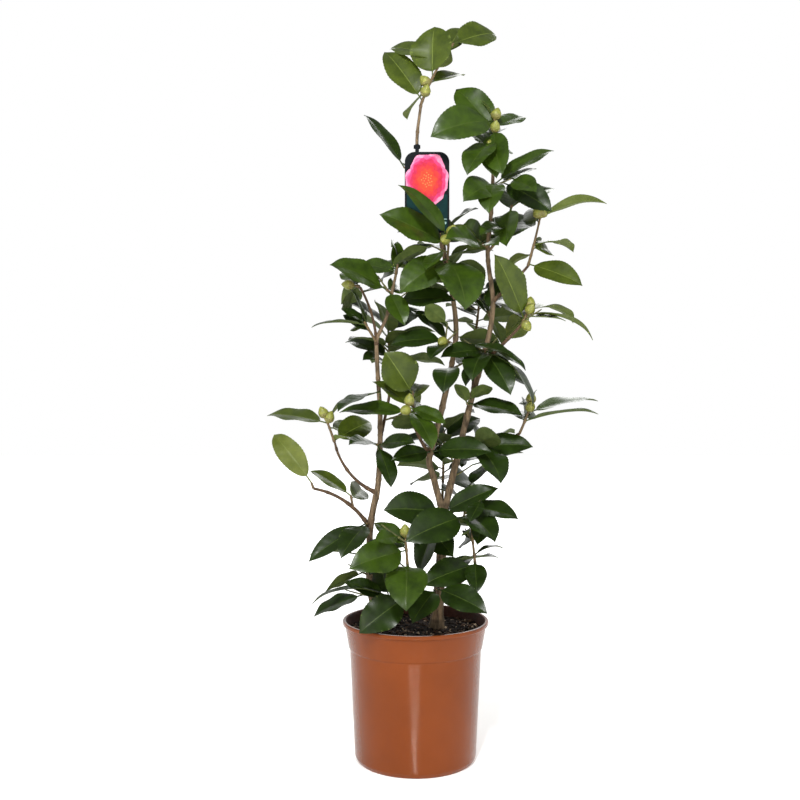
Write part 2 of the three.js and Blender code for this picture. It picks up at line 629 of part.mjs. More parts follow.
function leavesBehind(row, number) {
  const random = seeded(BEHIND.seed + number);
  const leaves = [];
  for (let i = 0; i < (row.behind ?? BEHIND.count); i++) {
    const place = BEHIND.first + (BEHIND.last - BEHIND.first) * random();
    const heading = BEHIND.heading + BEHIND.heading_spread * (2 * random() - 1);
    const rise = BEHIND.rise + BEHIND.rise_spread * (2 * random() - 1);
    const length = BEHIND.length + BEHIND.length_spread * random();
    const roll = (1 - 2 * (i % 2)) * (BEHIND.roll + BEHIND.roll_spread * random());
    leaves.push([place, heading, rise, length, roll, BEHIND.droop + BEHIND.droop_spread * random()]);
  }
  return leaves;
}

// What has claimed its space so far. A leaf or bud that would touch any of it is left out.
const taken = [];
for (const piece of pieces) claim(piece.solid, piece.name);

function boxesMeet(a, b) {
  return [0, 1, 2].every((k) => a.min[k] <= b.max[k] && b.min[k] <= a.max[k]);
}

function isBlocked(candidate, owner) {
  const box = candidate.boundingBox();
  return taken.some((other) => other.owner !== owner && boxesMeet(box, other.box)
    && candidate.intersect(other.solid).volume() > 0);
}

function claim(piece, owner) {
  taken.push({ owner, solid: piece, box: piece.boundingBox() });
}

function growTwig(row) {
  const start = spot(row.on, row.at);
  const curve = bending(start, ...row.twig);
  const twig = { curve, steps: TWIG_RINGS, sides: TWIG_SIDES, radii: [TWIG_ROOT, TWIG_TIP] };
  return { row, curve, solid: clearOfLimbs(solid(loft(limbRings(twig)))) };
}

function addLeaves(spray, leaves) {
  const { row, curve } = spray;
  for (const leaf of leaves) {
    const root = curve.getPointAt(leaf[0]);
    const wide = solid(loft(leafRings(root, leaf, GAP)));
    if (isBlocked(wide, row.name)) continue;
    spray.solid = spray.solid.add(solid(loft(leafRings(root, leaf))));
    claim(wide, row.name);
  }
}

// The twigs claim their space first, then the buds, then the leaves, those behind last.
const sprays = [...SPRAYS, ...FILLED].map(growTwig);
for (const spray of sprays) claim(spray.solid, spray.row.name);
for (const spray of sprays) {
  const { row, curve } = spray;
  for (const [place, heading, rise] of row.buds || []) {
    const bud = solid(loft(budRings(curve.getPointAt(place), heading, rise)));
    if (isBlocked(bud, row.name)) continue;
    spray.solid = spray.solid.add(bud);
    claim(bud, row.name);
  }
}
for (const spray of sprays) addLeaves(spray, spray.row.leaves || ruledLeaves(spray.row));
for (const [number, spray] of sprays.slice(0, SPRAYS.length).entries()) {
  addLeaves(spray, leavesBehind(spray.row, number));
}
for (const { row, solid: body } of sprays) pieces.push({ name: row.name, solid: body, kind: "leaf" });

const finishes = {
  bark: new THREE.MeshStandardMaterial({ color: 0x7d6a56, roughness: 0.85, metalness: 0 }),
  leaf: new THREE.MeshStandardMaterial({ color: 0x35501b, roughness: 0.35, metalness: 0 }),
  pot: new THREE.MeshStandardMaterial({ color: 0x9c5632, roughness: 0.4, metalness: 0 }),
  mix: new THREE.MeshStandardMaterial({ color: 0x35261c, roughness: 1, metalness: 0 }),
  label: new THREE.MeshStandardMaterial({ color: 0xd9527d, roughness: 0.4, metalness: 0 }),
};

function asMesh({ name, solid: body, kind }) {
  const { vertProperties, triVerts } = body.getMesh();
  const geometry = new THREE.BufferGeometry();
  geometry.setAttribute("position", new THREE.BufferAttribute(vertProperties, 3));
  geometry.setIndex(new THREE.BufferAttribute(triVerts, 1));
  geometry.computeVertexNormals();
  const mesh = new THREE.Mesh(geometry, finishes[kind].clone());
  mesh.name = name;
  return mesh;
}

const shrub = new THREE.Group();
for (const piece of pieces) shrub.add(asMesh(piece));

export default shrub;
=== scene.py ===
"""Looks for a camellia shrub in its nursery pot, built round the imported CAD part.

The limbs, sprays and leaves repeat the part's own tables and rule in millimetres, in finer meshes,
and go on to finer twigs that keep within each spray's reach. SCALE takes everything to metres.
"""

import itertools
from math import cos, hypot, pi, radians, sin, sqrt

import bpy
import numpy as np
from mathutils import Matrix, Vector, noise
from mathutils.bvhtree import BVHTree


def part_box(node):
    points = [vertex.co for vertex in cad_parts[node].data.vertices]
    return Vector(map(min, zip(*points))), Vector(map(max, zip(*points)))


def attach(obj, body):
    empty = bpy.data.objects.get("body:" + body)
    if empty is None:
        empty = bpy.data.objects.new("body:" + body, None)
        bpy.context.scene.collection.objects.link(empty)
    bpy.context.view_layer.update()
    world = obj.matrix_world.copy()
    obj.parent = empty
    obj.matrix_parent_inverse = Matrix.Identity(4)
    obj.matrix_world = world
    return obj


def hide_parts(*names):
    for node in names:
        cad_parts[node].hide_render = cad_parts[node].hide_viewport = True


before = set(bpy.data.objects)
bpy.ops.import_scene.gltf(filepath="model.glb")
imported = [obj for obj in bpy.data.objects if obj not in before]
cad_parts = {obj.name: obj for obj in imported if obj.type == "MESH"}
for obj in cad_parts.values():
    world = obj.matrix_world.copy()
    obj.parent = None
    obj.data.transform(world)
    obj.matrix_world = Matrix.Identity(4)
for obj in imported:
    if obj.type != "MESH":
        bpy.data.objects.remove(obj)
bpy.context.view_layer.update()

SCALE = 0.001
BODY = "root"

# The part's driving dimensions.
GAP = 0.3
POT_SIDES = 32
POT_HEIGHT = 180
POT_BASE_RADIUS = 79
POT_STEP_RADIUS = 85.5
POT_STEP_HEIGHT = 144
POT_NECK_RADIUS = 92.3
LIP_RADIUS = 95
LIP_HEIGHT = 5
WALL = 2.4
LIP_BAND = 3.9
STEP_EDGE = 1.5
BASE_CORNER = 6
DRAIN_RADIUS = 4.5
DRAIN_CIRCLE = 56
DRAIN_COUNT = 6
MIX_TOP = 167
GROUND = MIX_TOP + GAP
RING_SPACING = 22
BOUGH_RINGS = 6
BOUGH_SIDES = 5
FLARE_FALL = 14
BEND_STEPS = 6
TWIG_ENDS = (1.9, 1.2)
TWIG_RINGS = 4
TWIG_SIDES = 3
PETIOLE = 0.12
LEAF_WIDTH = 0.5
LEAF_FOLD = 14
LEAF_THICK = 0.02
LEAF_STATIONS = [(0, 0.03), (PETIOLE, 0.07), (0.42, 1), (0.78, 0.66), (1, 0)]
BUD_LENGTH = 17
BUD_RADIUS = 6.4
BUD_STATIONS = [(0, 0.25), (0.38, 1), (0.74, 0.72), (0.98, 0.05)]
BUD_SIDES = 5
CARD_WIDTH = 58
CARD_TOP = 789
CARD_BOTTOM = 684
CARD_X = 15
CARD_Y = -6
CARD_THICK = 0.8
CARD_CORNER = 13
CARD_CHAMFER = 3
NECK_WIDTH = 5
RING_RADIUS = 4.4
RING_HEIGHT = 4
RING_ABOVE = 8

# Upright stems: the radius at the foot and at the tip, the flare at the foot, how many sides, and
# the points where each one bends.
STEMS = [
    ("trunk", [7.5, 5.6], 4, 8, [[28, 8, GROUND], [33, 5, 245], [36, 0, 322]]),
    ("stem_left", [5.2, 1.8], 2, 7, [
        [-50, 6, GROUND], [-60, 4, 240], [-58, 0, 308], [-49, -4, 355], [-46, -3, 440], [-50, 0, 515],
        [-50, 0, 545], [-38, 4, 575], [-27, 6, 624]]),
    ("stem_middle", [4.4, 1.8], 0, 7, [
        [36, 0, 318], [25, -2, 360], [18, -4, 388], [26, -2, 420], [37, 0, 465], [53, 2, 551],
        [49, 4, 600], [38, 4, 655], [22, 2, 718], [4, 0, 780], [2, 0, 806], [7, 0, 852]]),
    ("stem_right", [4.8, 2.0], 0, 7, [
        [35, 2, 306], [44, 8, 345], [61, 10, 414], [72, 8, 460], [98, 8, 558], [102, 8, 597],
        [95, 6, 656], [100, 4, 720], [102, 0, 788]]),
]

# Side boughs: the limb each springs from and how high, then heading, rise, length and how far its
# rise changes by its tip, and its radius at its foot and tip.
BOUGHS = [
    ("bough_far_left_low", "stem_left", 298, [178, 60, 94, -50], [2.8, 1.7]),
    ("bough_far_left_high", "stem_left", 345, [174, 22, 90, 56], [2.4, 1.4]),
    ("bough_left_upper", "stem_left", 538, [178, 88, 80, -28], [1.9, 1.4]),
    ("bough_left_centre", "stem_middle", 396, [218, 44, 62, 30], [2.4, 1.6]),
    ("bough_low_front", "trunk", 222, [237, 16, 86, 18], [3.0, 2.0]),
    ("bough_low_left", "stem_left", 204, [-70, 12, 50, 8], [2.6, 1.8]),
    ("bough_low_right", "trunk", 212, [-20, 24, 62, 24], [3.0, 2.0]),
    ("bough_front_right", "trunk", 200, [-98, 24, 52, 12], [2.6, 1.8]),
    ("bough_right_low", "trunk", 312, [-4, 36, 60, -6], [3.0, 1.9]),
    ("bough_right_lower", "stem_right", 404, [8, -8, 84, 40], [2.6, 1.7]),
    ("bough_right_mid", "stem_right", 514, [-12, 40, 73, 8], [2.6, 1.8]),
    ("bough_right_outer", "stem_right", 596, [4, 42, 66, 6], [2.4, 1.7]),
    ("bough_back_low", "trunk", 255, [86, 30, 104, 34], [3.0, 1.9]),
    ("bough_back_left", "stem_left", 420, [78, 34, 92, 24], [2.4, 1.7]),
    ("bough_back_right", "stem_right", 474, [84, 38, 92, 24], [2.4, 1.7]),
]


def foliage(name, on, at, twig, leaves=(), **more):
    return dict(name=name, on=on, at=at, twig=twig, leaves=leaves, **more)


# Leafy sprays: the limb each grows on and where, its own stem as heading, rise, length and bend,
# then its leaves as place, heading, rise, length, roll, droop and, where it is not LEAF_WIDTH, the
# width as a share of the length. Buds are place, heading and rise. behind is how many leaves the
# rule sets behind the spray, where that is not BEHIND_COUNT.
SPRAYS = [
    foliage("spray_top", "stem_middle", 852, [0, 70, 92, -16], [
        [0.06, 145, 52, 100, -45, 16, 0.45], [0.34, 47, 22, 76, 20, 12], [0.42, 80, 80, 74, -16, 14, 0.84],
        [0.72, 140, 22, 100, -40, 14, 0.42], [0.8, 62, 46, 74, 20, 10, 0.45],
        [0.98, 36, 22, 82, 55, 24, 0.56]], buds=[[0.12, -50, 62], [0.3, 170, 50]]),
    foliage("spray_beside_label", "stem_middle", 762, [178, 20, 26, 0], [
        [0.95, 150, 53, 100, -15, 10, 0.32], [0.4, 92, 18, 72, 0, 30]], behind=0),
    foliage("spray_right_tip", "stem_right", 788, [60, 86, 48, 0], [
        [0.35, 232, -40, 84, -14, 36, 0.5], [0.3, -84, -44, 74, 30, 30], [0.12, 168, 34, 86, -30, 14, 0.36],
        [0.6, 150, 50, 88, -50, 24, 0.56], [0.9, 205, -17, 100, -60, 40, 0.56], [0.7, -92, -60, 84, 20, 20],
        [0.75, 44, 22, 70, 30, 14], [0.5, 85, 18, 74, 0, 30],
        [0.95, 160, 58, 32, 20, 10, 0.3]], buds=[[0.95, 10, 72], [0.6, -80, 50], [0.2, 235, 10]]),
    foliage("spray_right_high", "stem_right", 738, [-80, 36, 18, 0], [
        [0.8, 17, 32, 100, 28, 20, 0.36], [0.6, 232, -22, 78, -45, 46, 0.58],
        [0.95, 256, -40, 76, 0, 40, 0.5]]),
    foliage("spray_right_shoulder", "stem_right", 660, [4, 48, 72, 30], [
        [0.24, 46, 32, 86, 20, 14, 0.72], [0.88, 85, 37, 66, 0, 10], [0.97, 34, 23, 86, 25, 20, 0.44],
        [0.95, -110, -60, 64, 20, 20, 0.64], [0.6, 226, -18, 56, -30, 24], [0.4, 110, -8, 70, 0, 30]]),
    foliage("spray_right_outer", "bough_right_outer", 1, [0, 74, 68, 4], [
        [0.04, -36, -22, 84, 46, 16, 0.46], [0.42, 38, 0, 80, 6, 44], [0.22, 113, -8, 60, 6, 40, 0.36],
        [0.95, -20, 11, 92, -8, 46, 0.4]], buds=[[0.96, 190, 64], [0.98, 0, 58]]),
    foliage("spray_right_mid", "bough_right_mid", 1, [10, 62, 24, 0], [
        [0.3, 218, 58, 96, -95, 14, 0.5], [0.85, 32, -8, 84, 4, 66, 0.42], [0.6, -16, -20, 98, 0, 60, 0.42],
        [0.2, 104, 24, 74, 0, 30]], buds=[[0.98, 60, 78], [0.7, -60, 40], [0.2, -40, -50]]),
    foliage("spray_right_lower", "bough_right_lower", 1, [20, 62, 44, 10], [
        [0.7, 10, 11, 100, 12, 16, 0.42], [0.42, -12, 8, 98, -4, 26, 0.4],
        [0.4, 95, 10, 70, 0, 30]], buds=[[0.98, 60, 80], [0.75, -70, 50]]),
    foliage("spray_right_core", "stem_right", 528, [-90, 8, 14, 0], [
        [0.9, -24, -46, 100, -6, 50, 0.42], [0.6, -60, -44, 80, 20, 30], [0.7, -140, -50, 58, 0, 20, 0.56],
        [0.5, -110, -30, 76, 0, 44], [0.8, 204, -6, 66, -40, 30]], behind=1),
    foliage("spray_right_level", "stem_right", 458, [-110, 16, 14, 0], [
        [0.9, -31, -9, 80, 30, 16, 0.44], [0.9, 240, 40, 42, 0, 20]], behind=1),
    foliage("spray_right_hanging", "bough_right_lower", 0.22, [-70, 10, 12, 0], [
        [0.9, -68, -30, 82, 0, 40, 0.56], [0.9, -14, 2, 74, 50, 20, 0.5]], behind=1),
    foliage("spray_right_skirt", "bough_right_low", 0.62, [-100, -28, 34, 0], [
        [0.95, 216, -14, 96, -50, 30, 0.54], [0.4, -30, -6, 76, 30, 30],
        [0.7, -62, -20, 78, 10, 30, 0.56]]),
    foliage("spray_fork", "trunk", 316, [-90, 20, 14, 0], [
        [0.9, 206, 6, 86, -56, 24, 0.6], [0.95, -16, 26, 80, 60, 20, 0.42],
        [0.8, 215, -62, 84, 0, 20, 0.56]]),
    foliage("spray_centre_front", "stem_middle", 640, [272, 45, 48, 10], [
        [0.3, 205, -34, 84, -50, 30, 0.6], [0.7, 190, 24, 98, -56, 16, 0.54],
        [0.25, -72, -46, 98, 0, 45, 0.68],
        [0.95, 200, 44, 94, -62, 24, 0.34]], buds=[[0.9, 230, -10], [0.98, -30, 60]], behind=0),
    foliage("spray_centre_right", "stem_right", 666, [225, 20, 14, 0], [
        [0.9, 228, 0, 74, -50, 24, 0.55], [0.5, -76, -6, 54, 30, 30]]),
    foliage("spray_left_tip", "stem_left", 624, [60, 70, 24, 0], [
        [0.4, 86, 52, 62, 20, 10, 0.32], [0.6, 125, 14, 64, -20, 20, 0.5],
        [0.5, 160, 14, 54, -44, 12, 0.58], [0.9, 30, 30, 66, 20, 20]]),
    foliage("spray_left_high", "stem_left", 606, [200, 30, 10, 0], [
        [0.9, 203, 22, 84, -50, 24, 0.62], [0.5, -60, -48, 62, 20, 20]]),
    foliage("spray_left_upper", "bough_left_upper", 1, [182, 16, 8, 0], [
        [0.2, 110, 26, 64, -20, 20]], buds=[[0.98, 184, 4]]),
    foliage("spray_left_node", "stem_left", 541, [220, 52, 34, 0], [
        [0.5, 146, 30, 52, -30, 14, 0.42], [0.7, 200, 66, 56, -30, 10, 0.4], [0.95, 150, 30, 42, -20, 10],
        [0.85, 205, -2, 76, 0, 24, 0.34]]),
    foliage("spray_centre", "stem_middle", 538, [215, 20, 18, 0], [
        [0.9, 190, -4, 74, -40, 30], [0.6, 158, 40, 70, -20, 24, 0.42],
        [0.4, -120, -20, 62, 0, 30, 0.5]], buds=[[0.98, 240, -20]], behind=1),
    foliage("spray_centre_low", "stem_middle", 506, [-100, 10, 12, 0], [
        [0.9, -100, -27, 72, 0, 50, 0.5]], behind=1),
    foliage("spray_left_round", "bough_left_centre", 0.76, [100, 76, 45, 0], [
        [0.9, 196, 56, 66, -78, 12, 0.86], [0.5, 172, 34, 64, -34, 20, 0.46], [0.7, 80, 20, 70, 0, 24]]),
    foliage("spray_left_level", "bough_left_centre", 1, [240, 60, 12, 0], [
        [0.3, 176, 1, 92, -32, 8, 0.38], [0.5, -60, -40, 74, 0, 34, 0.46],
        [0.8, -14, -22, 52, 40, 20]], buds=[[0.98, 300, 80], [0.6, 225, -10]]),
    foliage("spray_left_dark", "stem_left", 404, [-110, 24, 14, 0], [
        [0.9, 236, 4, 60, -24, 20], [0.6, -40, 6, 62, 40, 24], [0.8, -54, -58, 62, 0, 20]], behind=1),
    foliage("spray_middle_low", "stem_middle", 398, [-80, 10, 12, 0], [
        [0.5, 206, -8, 58, -50, 20], [0.9, -25, 2, 82, 50, 24, 0.45]], behind=1),
    foliage("spray_far_left_high", "bough_far_left_high", 1, [150, 66, 36, 0], [
        [0.74, 153, 7, 98, -24, 14, 0.38], [0.05, 50, 18, 78, 46, 24, 0.5],
        [0.1, -60, 4, 50, -10, 20, 0.4]], buds=[[0.75, 20, 70], [0.95, 190, 64]]),
    foliage("spray_far_left_low", "bough_far_left_low", 1, [178, 70, 9, 0], [
        [0.9, 152, 46, 92, -55, 56, 0.37]], behind=1),
    foliage("spray_far_left_inner", "bough_far_left_low", 0.38, [120, 66, 18, 0], [
        [0.9, 155, 28, 70, -20, 14, 0.38]], behind=1),
    foliage("spray_low_left", "stem_left", 304, [235, 10, 12, 0], [
        [0.9, 209, -27, 92, -34, 20, 0.34], [0.5, 240, -28, 74, -10, 30, 0.52]]),
    foliage("spray_right_inner", "stem_right", 572, [110, 40, 20, 0], [
        [0.9, 60, 50, 66, 0, 14, 0.34], [0.5, 150, 36, 62, 0, 20, 0.4],
        [0.7, 60, -40, 62, 20, 20, 0.4]], behind=1),
    foliage("spray_low_front", "bough_low_front", 1, [250, 78, 40, 0], [
        [0.1, -92, -33, 82, 0, 50, 0.66], [0.55, 215, -9, 86, -56, 30, 0.54],
        [0.7, 150, 30, 54, -30, 20]], buds=[[0.98, 240, 84]]),
    foliage("spray_rim_left", "bough_low_left", 1, [-20, 2, 30, 0], [
        [0.15, 194, -1, 104, 0, 60, 0.24], [0.95, 212, -28, 78, -50, 30, 0.6],
        [0.05, 184, 20, 56, -40, 20]]),
    foliage("spray_low_right", "bough_low_right", 1, [176, 84, 56, 0], [
        [0.08, 212, -12, 84, -46, 24], [0.3, 20, 10, 46, 0, 60, 0.34], [0.15, -92, -30, 60, 0, 30],
        [0.6, 80, 0, 76, 0, 34]]),
    foliage("spray_rim_right", "bough_front_right", 1, [-70, 20, 8, 0], [
        [0.9, -42, -13, 82, 40, 24, 0.48], [0.6, 236, -30, 64, -16, 24, 0.62]]),
]

# The back, with a leaf count and a seed in place of the leaves.
FILLED = [
    foliage("spray_back_low", "bough_back_low", 1, [84, 62, 100, 10], count=13, seed=11),
    foliage("spray_back_left", "bough_back_left", 1, [96, 60, 92, 10], count=12, seed=12),
    foliage("spray_back_right", "bough_back_right", 1, [72, 60, 92, 10], count=12, seed=13),
    foliage("spray_back_high", "stem_middle", 596, [96, 30, 136, 44], count=13, seed=14),
]

# Curves and directions, as in the part's source.
DIVISIONS = 200
TANGENT_STEP = 1e-4
HALVINGS = 30
MODULUS = 2147483647
MULTIPLIER = 16807
SEED_STEP = 7919


class Curve:
    """A centripetal spline through points, walked by its own length from 0 to 1."""

    def __init__(self, points):
        inner = np.array(points, float)
        padded = np.vstack((2 * inner[0] - inner[1], inner, 2 * inner[-1] - inner[-2]))
        spans = np.sum(np.diff(padded, axis=0) ** 2, axis=1) ** 0.25
        before, here, after = (spans[k:k + len(inner) - 1, None] for k in range(3))
        a, b, c, d = (padded[k:k + len(inner) - 1] for k in range(4))
        leave = ((b - a) / before - (c - a) / (before + here) + (c - b) / here) * here
        arrive = ((c - b) / here - (d - b) / (here + after) + (d - c) / after) * here
        self.terms = [b, leave, 3 * (c - b) - 2 * leave - arrive, 2 * (b - c) + leave + arrive]
        self.knots = np.linspace(0, 1, DIVISIONS + 1)
        steps = np.linalg.norm(np.diff(self.at_knots(self.knots), axis=0), axis=1)
        self.lengths = np.concatenate(([0], np.cumsum(steps)))
        self.length = self.lengths[-1]

    def at_knots(self, knots):
        pieces = len(self.terms[0])
        place = np.clip(knots, 0, 1) * pieces
        piece = np.minimum(place.astype(int), pieces - 1)
        weight = (place - piece)[:, None]
        flat, slope, bend, twist = (term[piece] for term in self.terms)
        return flat + weight * (slope + weight * (bend + weight * twist))

    def knots_at(self, shares):
        return np.interp(np.atleast_1d(shares) * self.length, self.lengths, self.knots)

    def points(self, shares):
        return self.at_knots(self.knots_at(shares))

    def ways(self, shares):
        knots = self.knots_at(shares)
        ways = self.at_knots(knots + TANGENT_STEP) - self.at_knots(knots - TANGENT_STEP)
        return ways / np.linalg.norm(ways, axis=1, keepdims=True)

    def at(self, share):
        return self.points(share)[0]


def direction(heading, rise):
    turn = radians(heading)
    climb = radians(rise)
    return np.array([cos(climb) * cos(turn), cos(climb) * sin(turn), sin(climb)])


def unit(vector):
    return vector / np.linalg.norm(vector)


def between(ends, share):
    return ends[0] + (ends[1] - ends[0]) * share


def corner_turns(count):
    """The angles of a ring's points."""
    return np.arange(count) * 2 * pi / count


def seeded(seed):
    """Repeatable numbers from 0 to 1."""
    state = seed * SEED_STEP

    def draw():
        nonlocal state
        state = (state * MULTIPLIER) % MODULUS
        return state / MODULUS

    return draw


def bending(start, heading, rise, length, bend):
    points = [np.array(start, float)]
    for i in range(BEND_STEPS):
        way = direction(heading, rise + bend * (i + 0.5) / BEND_STEPS)
        points.append(points[-1] + way * length / BEND_STEPS)
    return Curve(points)


limbs = {}


def spot(name, at):
    """A point on a limb: at a height on a stem, at a share of the length on a bough."""
    limb = limbs[name]
    if not limb["upright"]:
        return limb["curve"].at(at)
    low, high = 0.0, 1.0
    for _ in range(HALVINGS):
        middle = (low + high) / 2
        if limb["curve"].at(middle)[2] < at:
            low = middle
        else:
            high = middle
    return limb["curve"].at((low + high) / 2)


def limb_radius(limb, shares):
    return between(limb["radii"], shares) + limb["flare"] * np.exp(-FLARE_FALL * shares)


def carried_sides(ways):
    """A side direction for each ring that turns with the curve and does not twist."""
    side = np.array([0.0, 1.0, 0.0])
    sides = []
    for way in ways:
        side = unit(side - way * np.dot(side, way))
        sides.append(side)
    return np.array(sides)


def tube_rings(curve, radii, shares, corners):
    """Rings of points round a curve. radii holds one number to a ring, or one to each point."""
    ways = curve.ways(shares)
    sides = carried_sides(ways)
    ups = np.cross(ways, sides)
    turns = corner_turns(corners)
    round_it = (sides[:, None] * np.cos(turns)[None, :, None]
                + ups[:, None] * np.sin(turns)[None, :, None])
    radii = np.asarray(radii, float)
    if radii.ndim == 1:
        radii = radii[:, None]
    return curve.points(shares)[:, None] + round_it * radii[..., None]


for name, radii, flare, sides, points in STEMS:
    curve = Curve(points)
    limbs[name] = dict(curve=curve, radii=radii, flare=flare, steps=round(curve.length / RING_SPACING),
                       sides=sides, upright=True)
for name, on, at, way, radii in BOUGHS:
    limbs[name] = dict(curve=bending(spot(on, at), *way), radii=radii, flare=0, steps=BOUGH_RINGS,
                       sides=BOUGH_SIDES, upright=False)


def new_object(name, data):
    made = bpy.data.objects.new(name, data)
    bpy.context.scene.collection.objects.link(made)
    return made


def new_mesh(name, points, faces):
    """A mesh from points in millimetres."""
    mesh = bpy.data.meshes.new(name)
    mesh.from_pydata((np.asarray(points, float) * SCALE).tolist(), [], faces)
    return mesh


# Meshes are gathered in piles and made into one object each.
class Pile:
    """Vertices, faces and each face's material, gathered to make one object."""

    def __init__(self):
        self.vertices = []
        self.faces = []
        self.materials = []
        self.count = 0

    def add(self, points, faces, material=0):
        points = np.asarray(points, float).reshape(-1, 3)
        self.vertices.append(points)
        self.faces += [[self.count + i for i in face] for face in faces]
        self.materials.append(np.broadcast_to(material, len(faces)))
        self.count += len(points)

    def build(self, name, materials, replaced, smooth=True):
        mesh = new_mesh(name, np.vstack(self.vertices), self.faces)
        for made in materials:
            mesh.materials.append(made)
        mesh.polygons.foreach_set("material_index", np.concatenate(self.materials))
        mesh.polygons.foreach_set("use_smooth", [smooth] * len(mesh.polygons))
        mesh.update()
        piece = new_object(name, mesh)
        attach(piece, BODY)
        if replaced:
            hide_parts(*replaced)
        return piece


def grid_faces(rows, columns, closed=False):
    """Quads between the points of a grid, joined into a tube where it is closed."""
    spans = np.arange(columns if closed else columns - 1)
    low = np.arange(rows - 1)[:, None] * columns + spans[None]
    side = low + ((spans + 1) % columns - spans)[None]
    return np.stack((low, side, side + columns, low + columns), -1).reshape(-1, 4).tolist()


def ring_faces(rings):
    """The faces of a tube with flat ends."""
    rows, corners = rings.shape[:2]
    ends = [list(range(corners))[::-1], list(range((rows - 1) * corners, rows * corners))]
    return grid_faces(rows, corners, closed=True) + ends


def add_tube(pile, rings, material=0):
    """A tube with a small fan over each end."""
    rows, corners = rings.shape[:2]
    foot = rows * corners
    last = foot - corners
    faces = grid_faces(rows, corners, closed=True)
    for k in range(corners):
        after = (k + 1) % corners
        faces += [[foot, after, k], [foot + 1, last + k, last + after]]
    pile.add(np.vstack((*rings, rings[0].mean(0), rings[-1].mean(0))), faces, material)


# Materials: each one is plain colour broken by grain, with its own roughness and bump.
GRAIN_DETAIL = 5.0
GRAIN_ROUGH = 0.6
SPECK_FINE = 6.0
SPECK_DETAIL = 3.0
SPECK_RANGE = (0.3, 0.7)
TINT_RANGE = (0.32, 0.68)
COAT_ROUGH = 0.22


def linear(colour):
    """A colour as seen on a screen, in linear light."""
    return tuple(
        c / 12.92 if c <= 0.04045 else ((c + 0.055) / 1.055) ** 2.4
        for c in (channel / 255 for channel in colour)) + (1.0,)


def fill(node, **settings):
    for key, value in settings.items():
        node.inputs[key].default_value = value
    return node


def new_node(tree, kind, **settings):
    return fill(tree.nodes.new(kind), **settings)


def new_range(tree, taken, given):
    """A node that takes one range of numbers to another."""
    return new_node(tree, "ShaderNodeMapRange", **{
        "From Min": taken[0], "From Max": taken[1], "To Min": given[0], "To Max": given[1]})


def wire(tree, *links):
    """Joins nodes. Each link is a node, its output, the next node and its input."""
    for source, output, target, taken in links:
        tree.links.new(source.outputs[output], target.inputs[taken])


def finish(name, dark, light, grain, rough, bump=0.1, stretch=(1, 1, 1), coat=0.0, specular=0.5,
           depth=0.0004):
    """A material whose colour runs from dark to light over a noise of so many grains to a metre."""
    made = bpy.data.materials.new(name)
    made.use_nodes = True
    tree = made.node_tree
    shader = fill(tree.nodes["Principled BSDF"], **{
        "Coat Weight": coat, "Coat Roughness": COAT_ROUGH, "Specular IOR Level": specular})
    place = new_node(tree, "ShaderNodeTexCoord")
    spread = new_node(tree, "ShaderNodeMapping", Scale=stretch)
    patches = new_node(
        tree, "ShaderNodeTexNoise", Scale=grain, Detail=GRAIN_DETAIL, Roughness=GRAIN_ROUGH)
    specks = new_node(tree, "ShaderNodeTexNoise", Scale=grain * SPECK_FINE, Detail=SPECK_DETAIL)
    tint = new_node(tree, "ShaderNodeValToRGB")
    for stop, position, colour in zip(tint.color_ramp.elements, TINT_RANGE, (dark, light)):
        stop.position = position
        stop.color = linear(colour)
    gloss = new_range(tree, SPECK_RANGE, rough)
    relief = new_node(tree, "ShaderNodeBump", Strength=bump, Distance=depth)
    wire(tree, (place, "Object", spread, "Vector"), (spread, "Vector", patches, "Vector"),
         (spread, "Vector", specks, "Vector"), (patches, "Fac", tint, "Fac"),
         (specks, "Fac", gloss, "Value"), (specks, "Fac", relief, "Height"),
         (tint, "Color", shader, "Base Color"), (gloss, "Result", shader, "Roughness"),
         (relief, "Normal", shader, "Normal"))
    return made


def finishes(rows, **shared):
    """A finish for each row of a name, its dark colour and its light one, alike in the rest."""
    return [finish(*row, **shared) for row in rows]


# Bark: lengthwise wrinkles, swollen joints where leaves once sat, and a collar at each fork.
BARK_RING = 1.5
BARK_CORNERS = 20
BARK_LEAST_ROWS = 8
OLD_WOOD_RADIUS = 4
WRINKLE = 0.55
WRINKLES_ROUND = 2.2
WRINKLES_ALONG = 0.045
WRINKLE_OCTAVES = 4
WRINKLE_SHIFT = 9
FULL_WRINKLE_RADIUS = 4
MOST_WRINKLE = 1.4
JOINT_SPACING = 31
JOINT_JITTER = 0.3
JOINT_SWELL = 0.55
JOINT_REACH = 2.2
COLLAR = 0.55
COLLAR_REACH = 7
FOOT_SUNK = 2


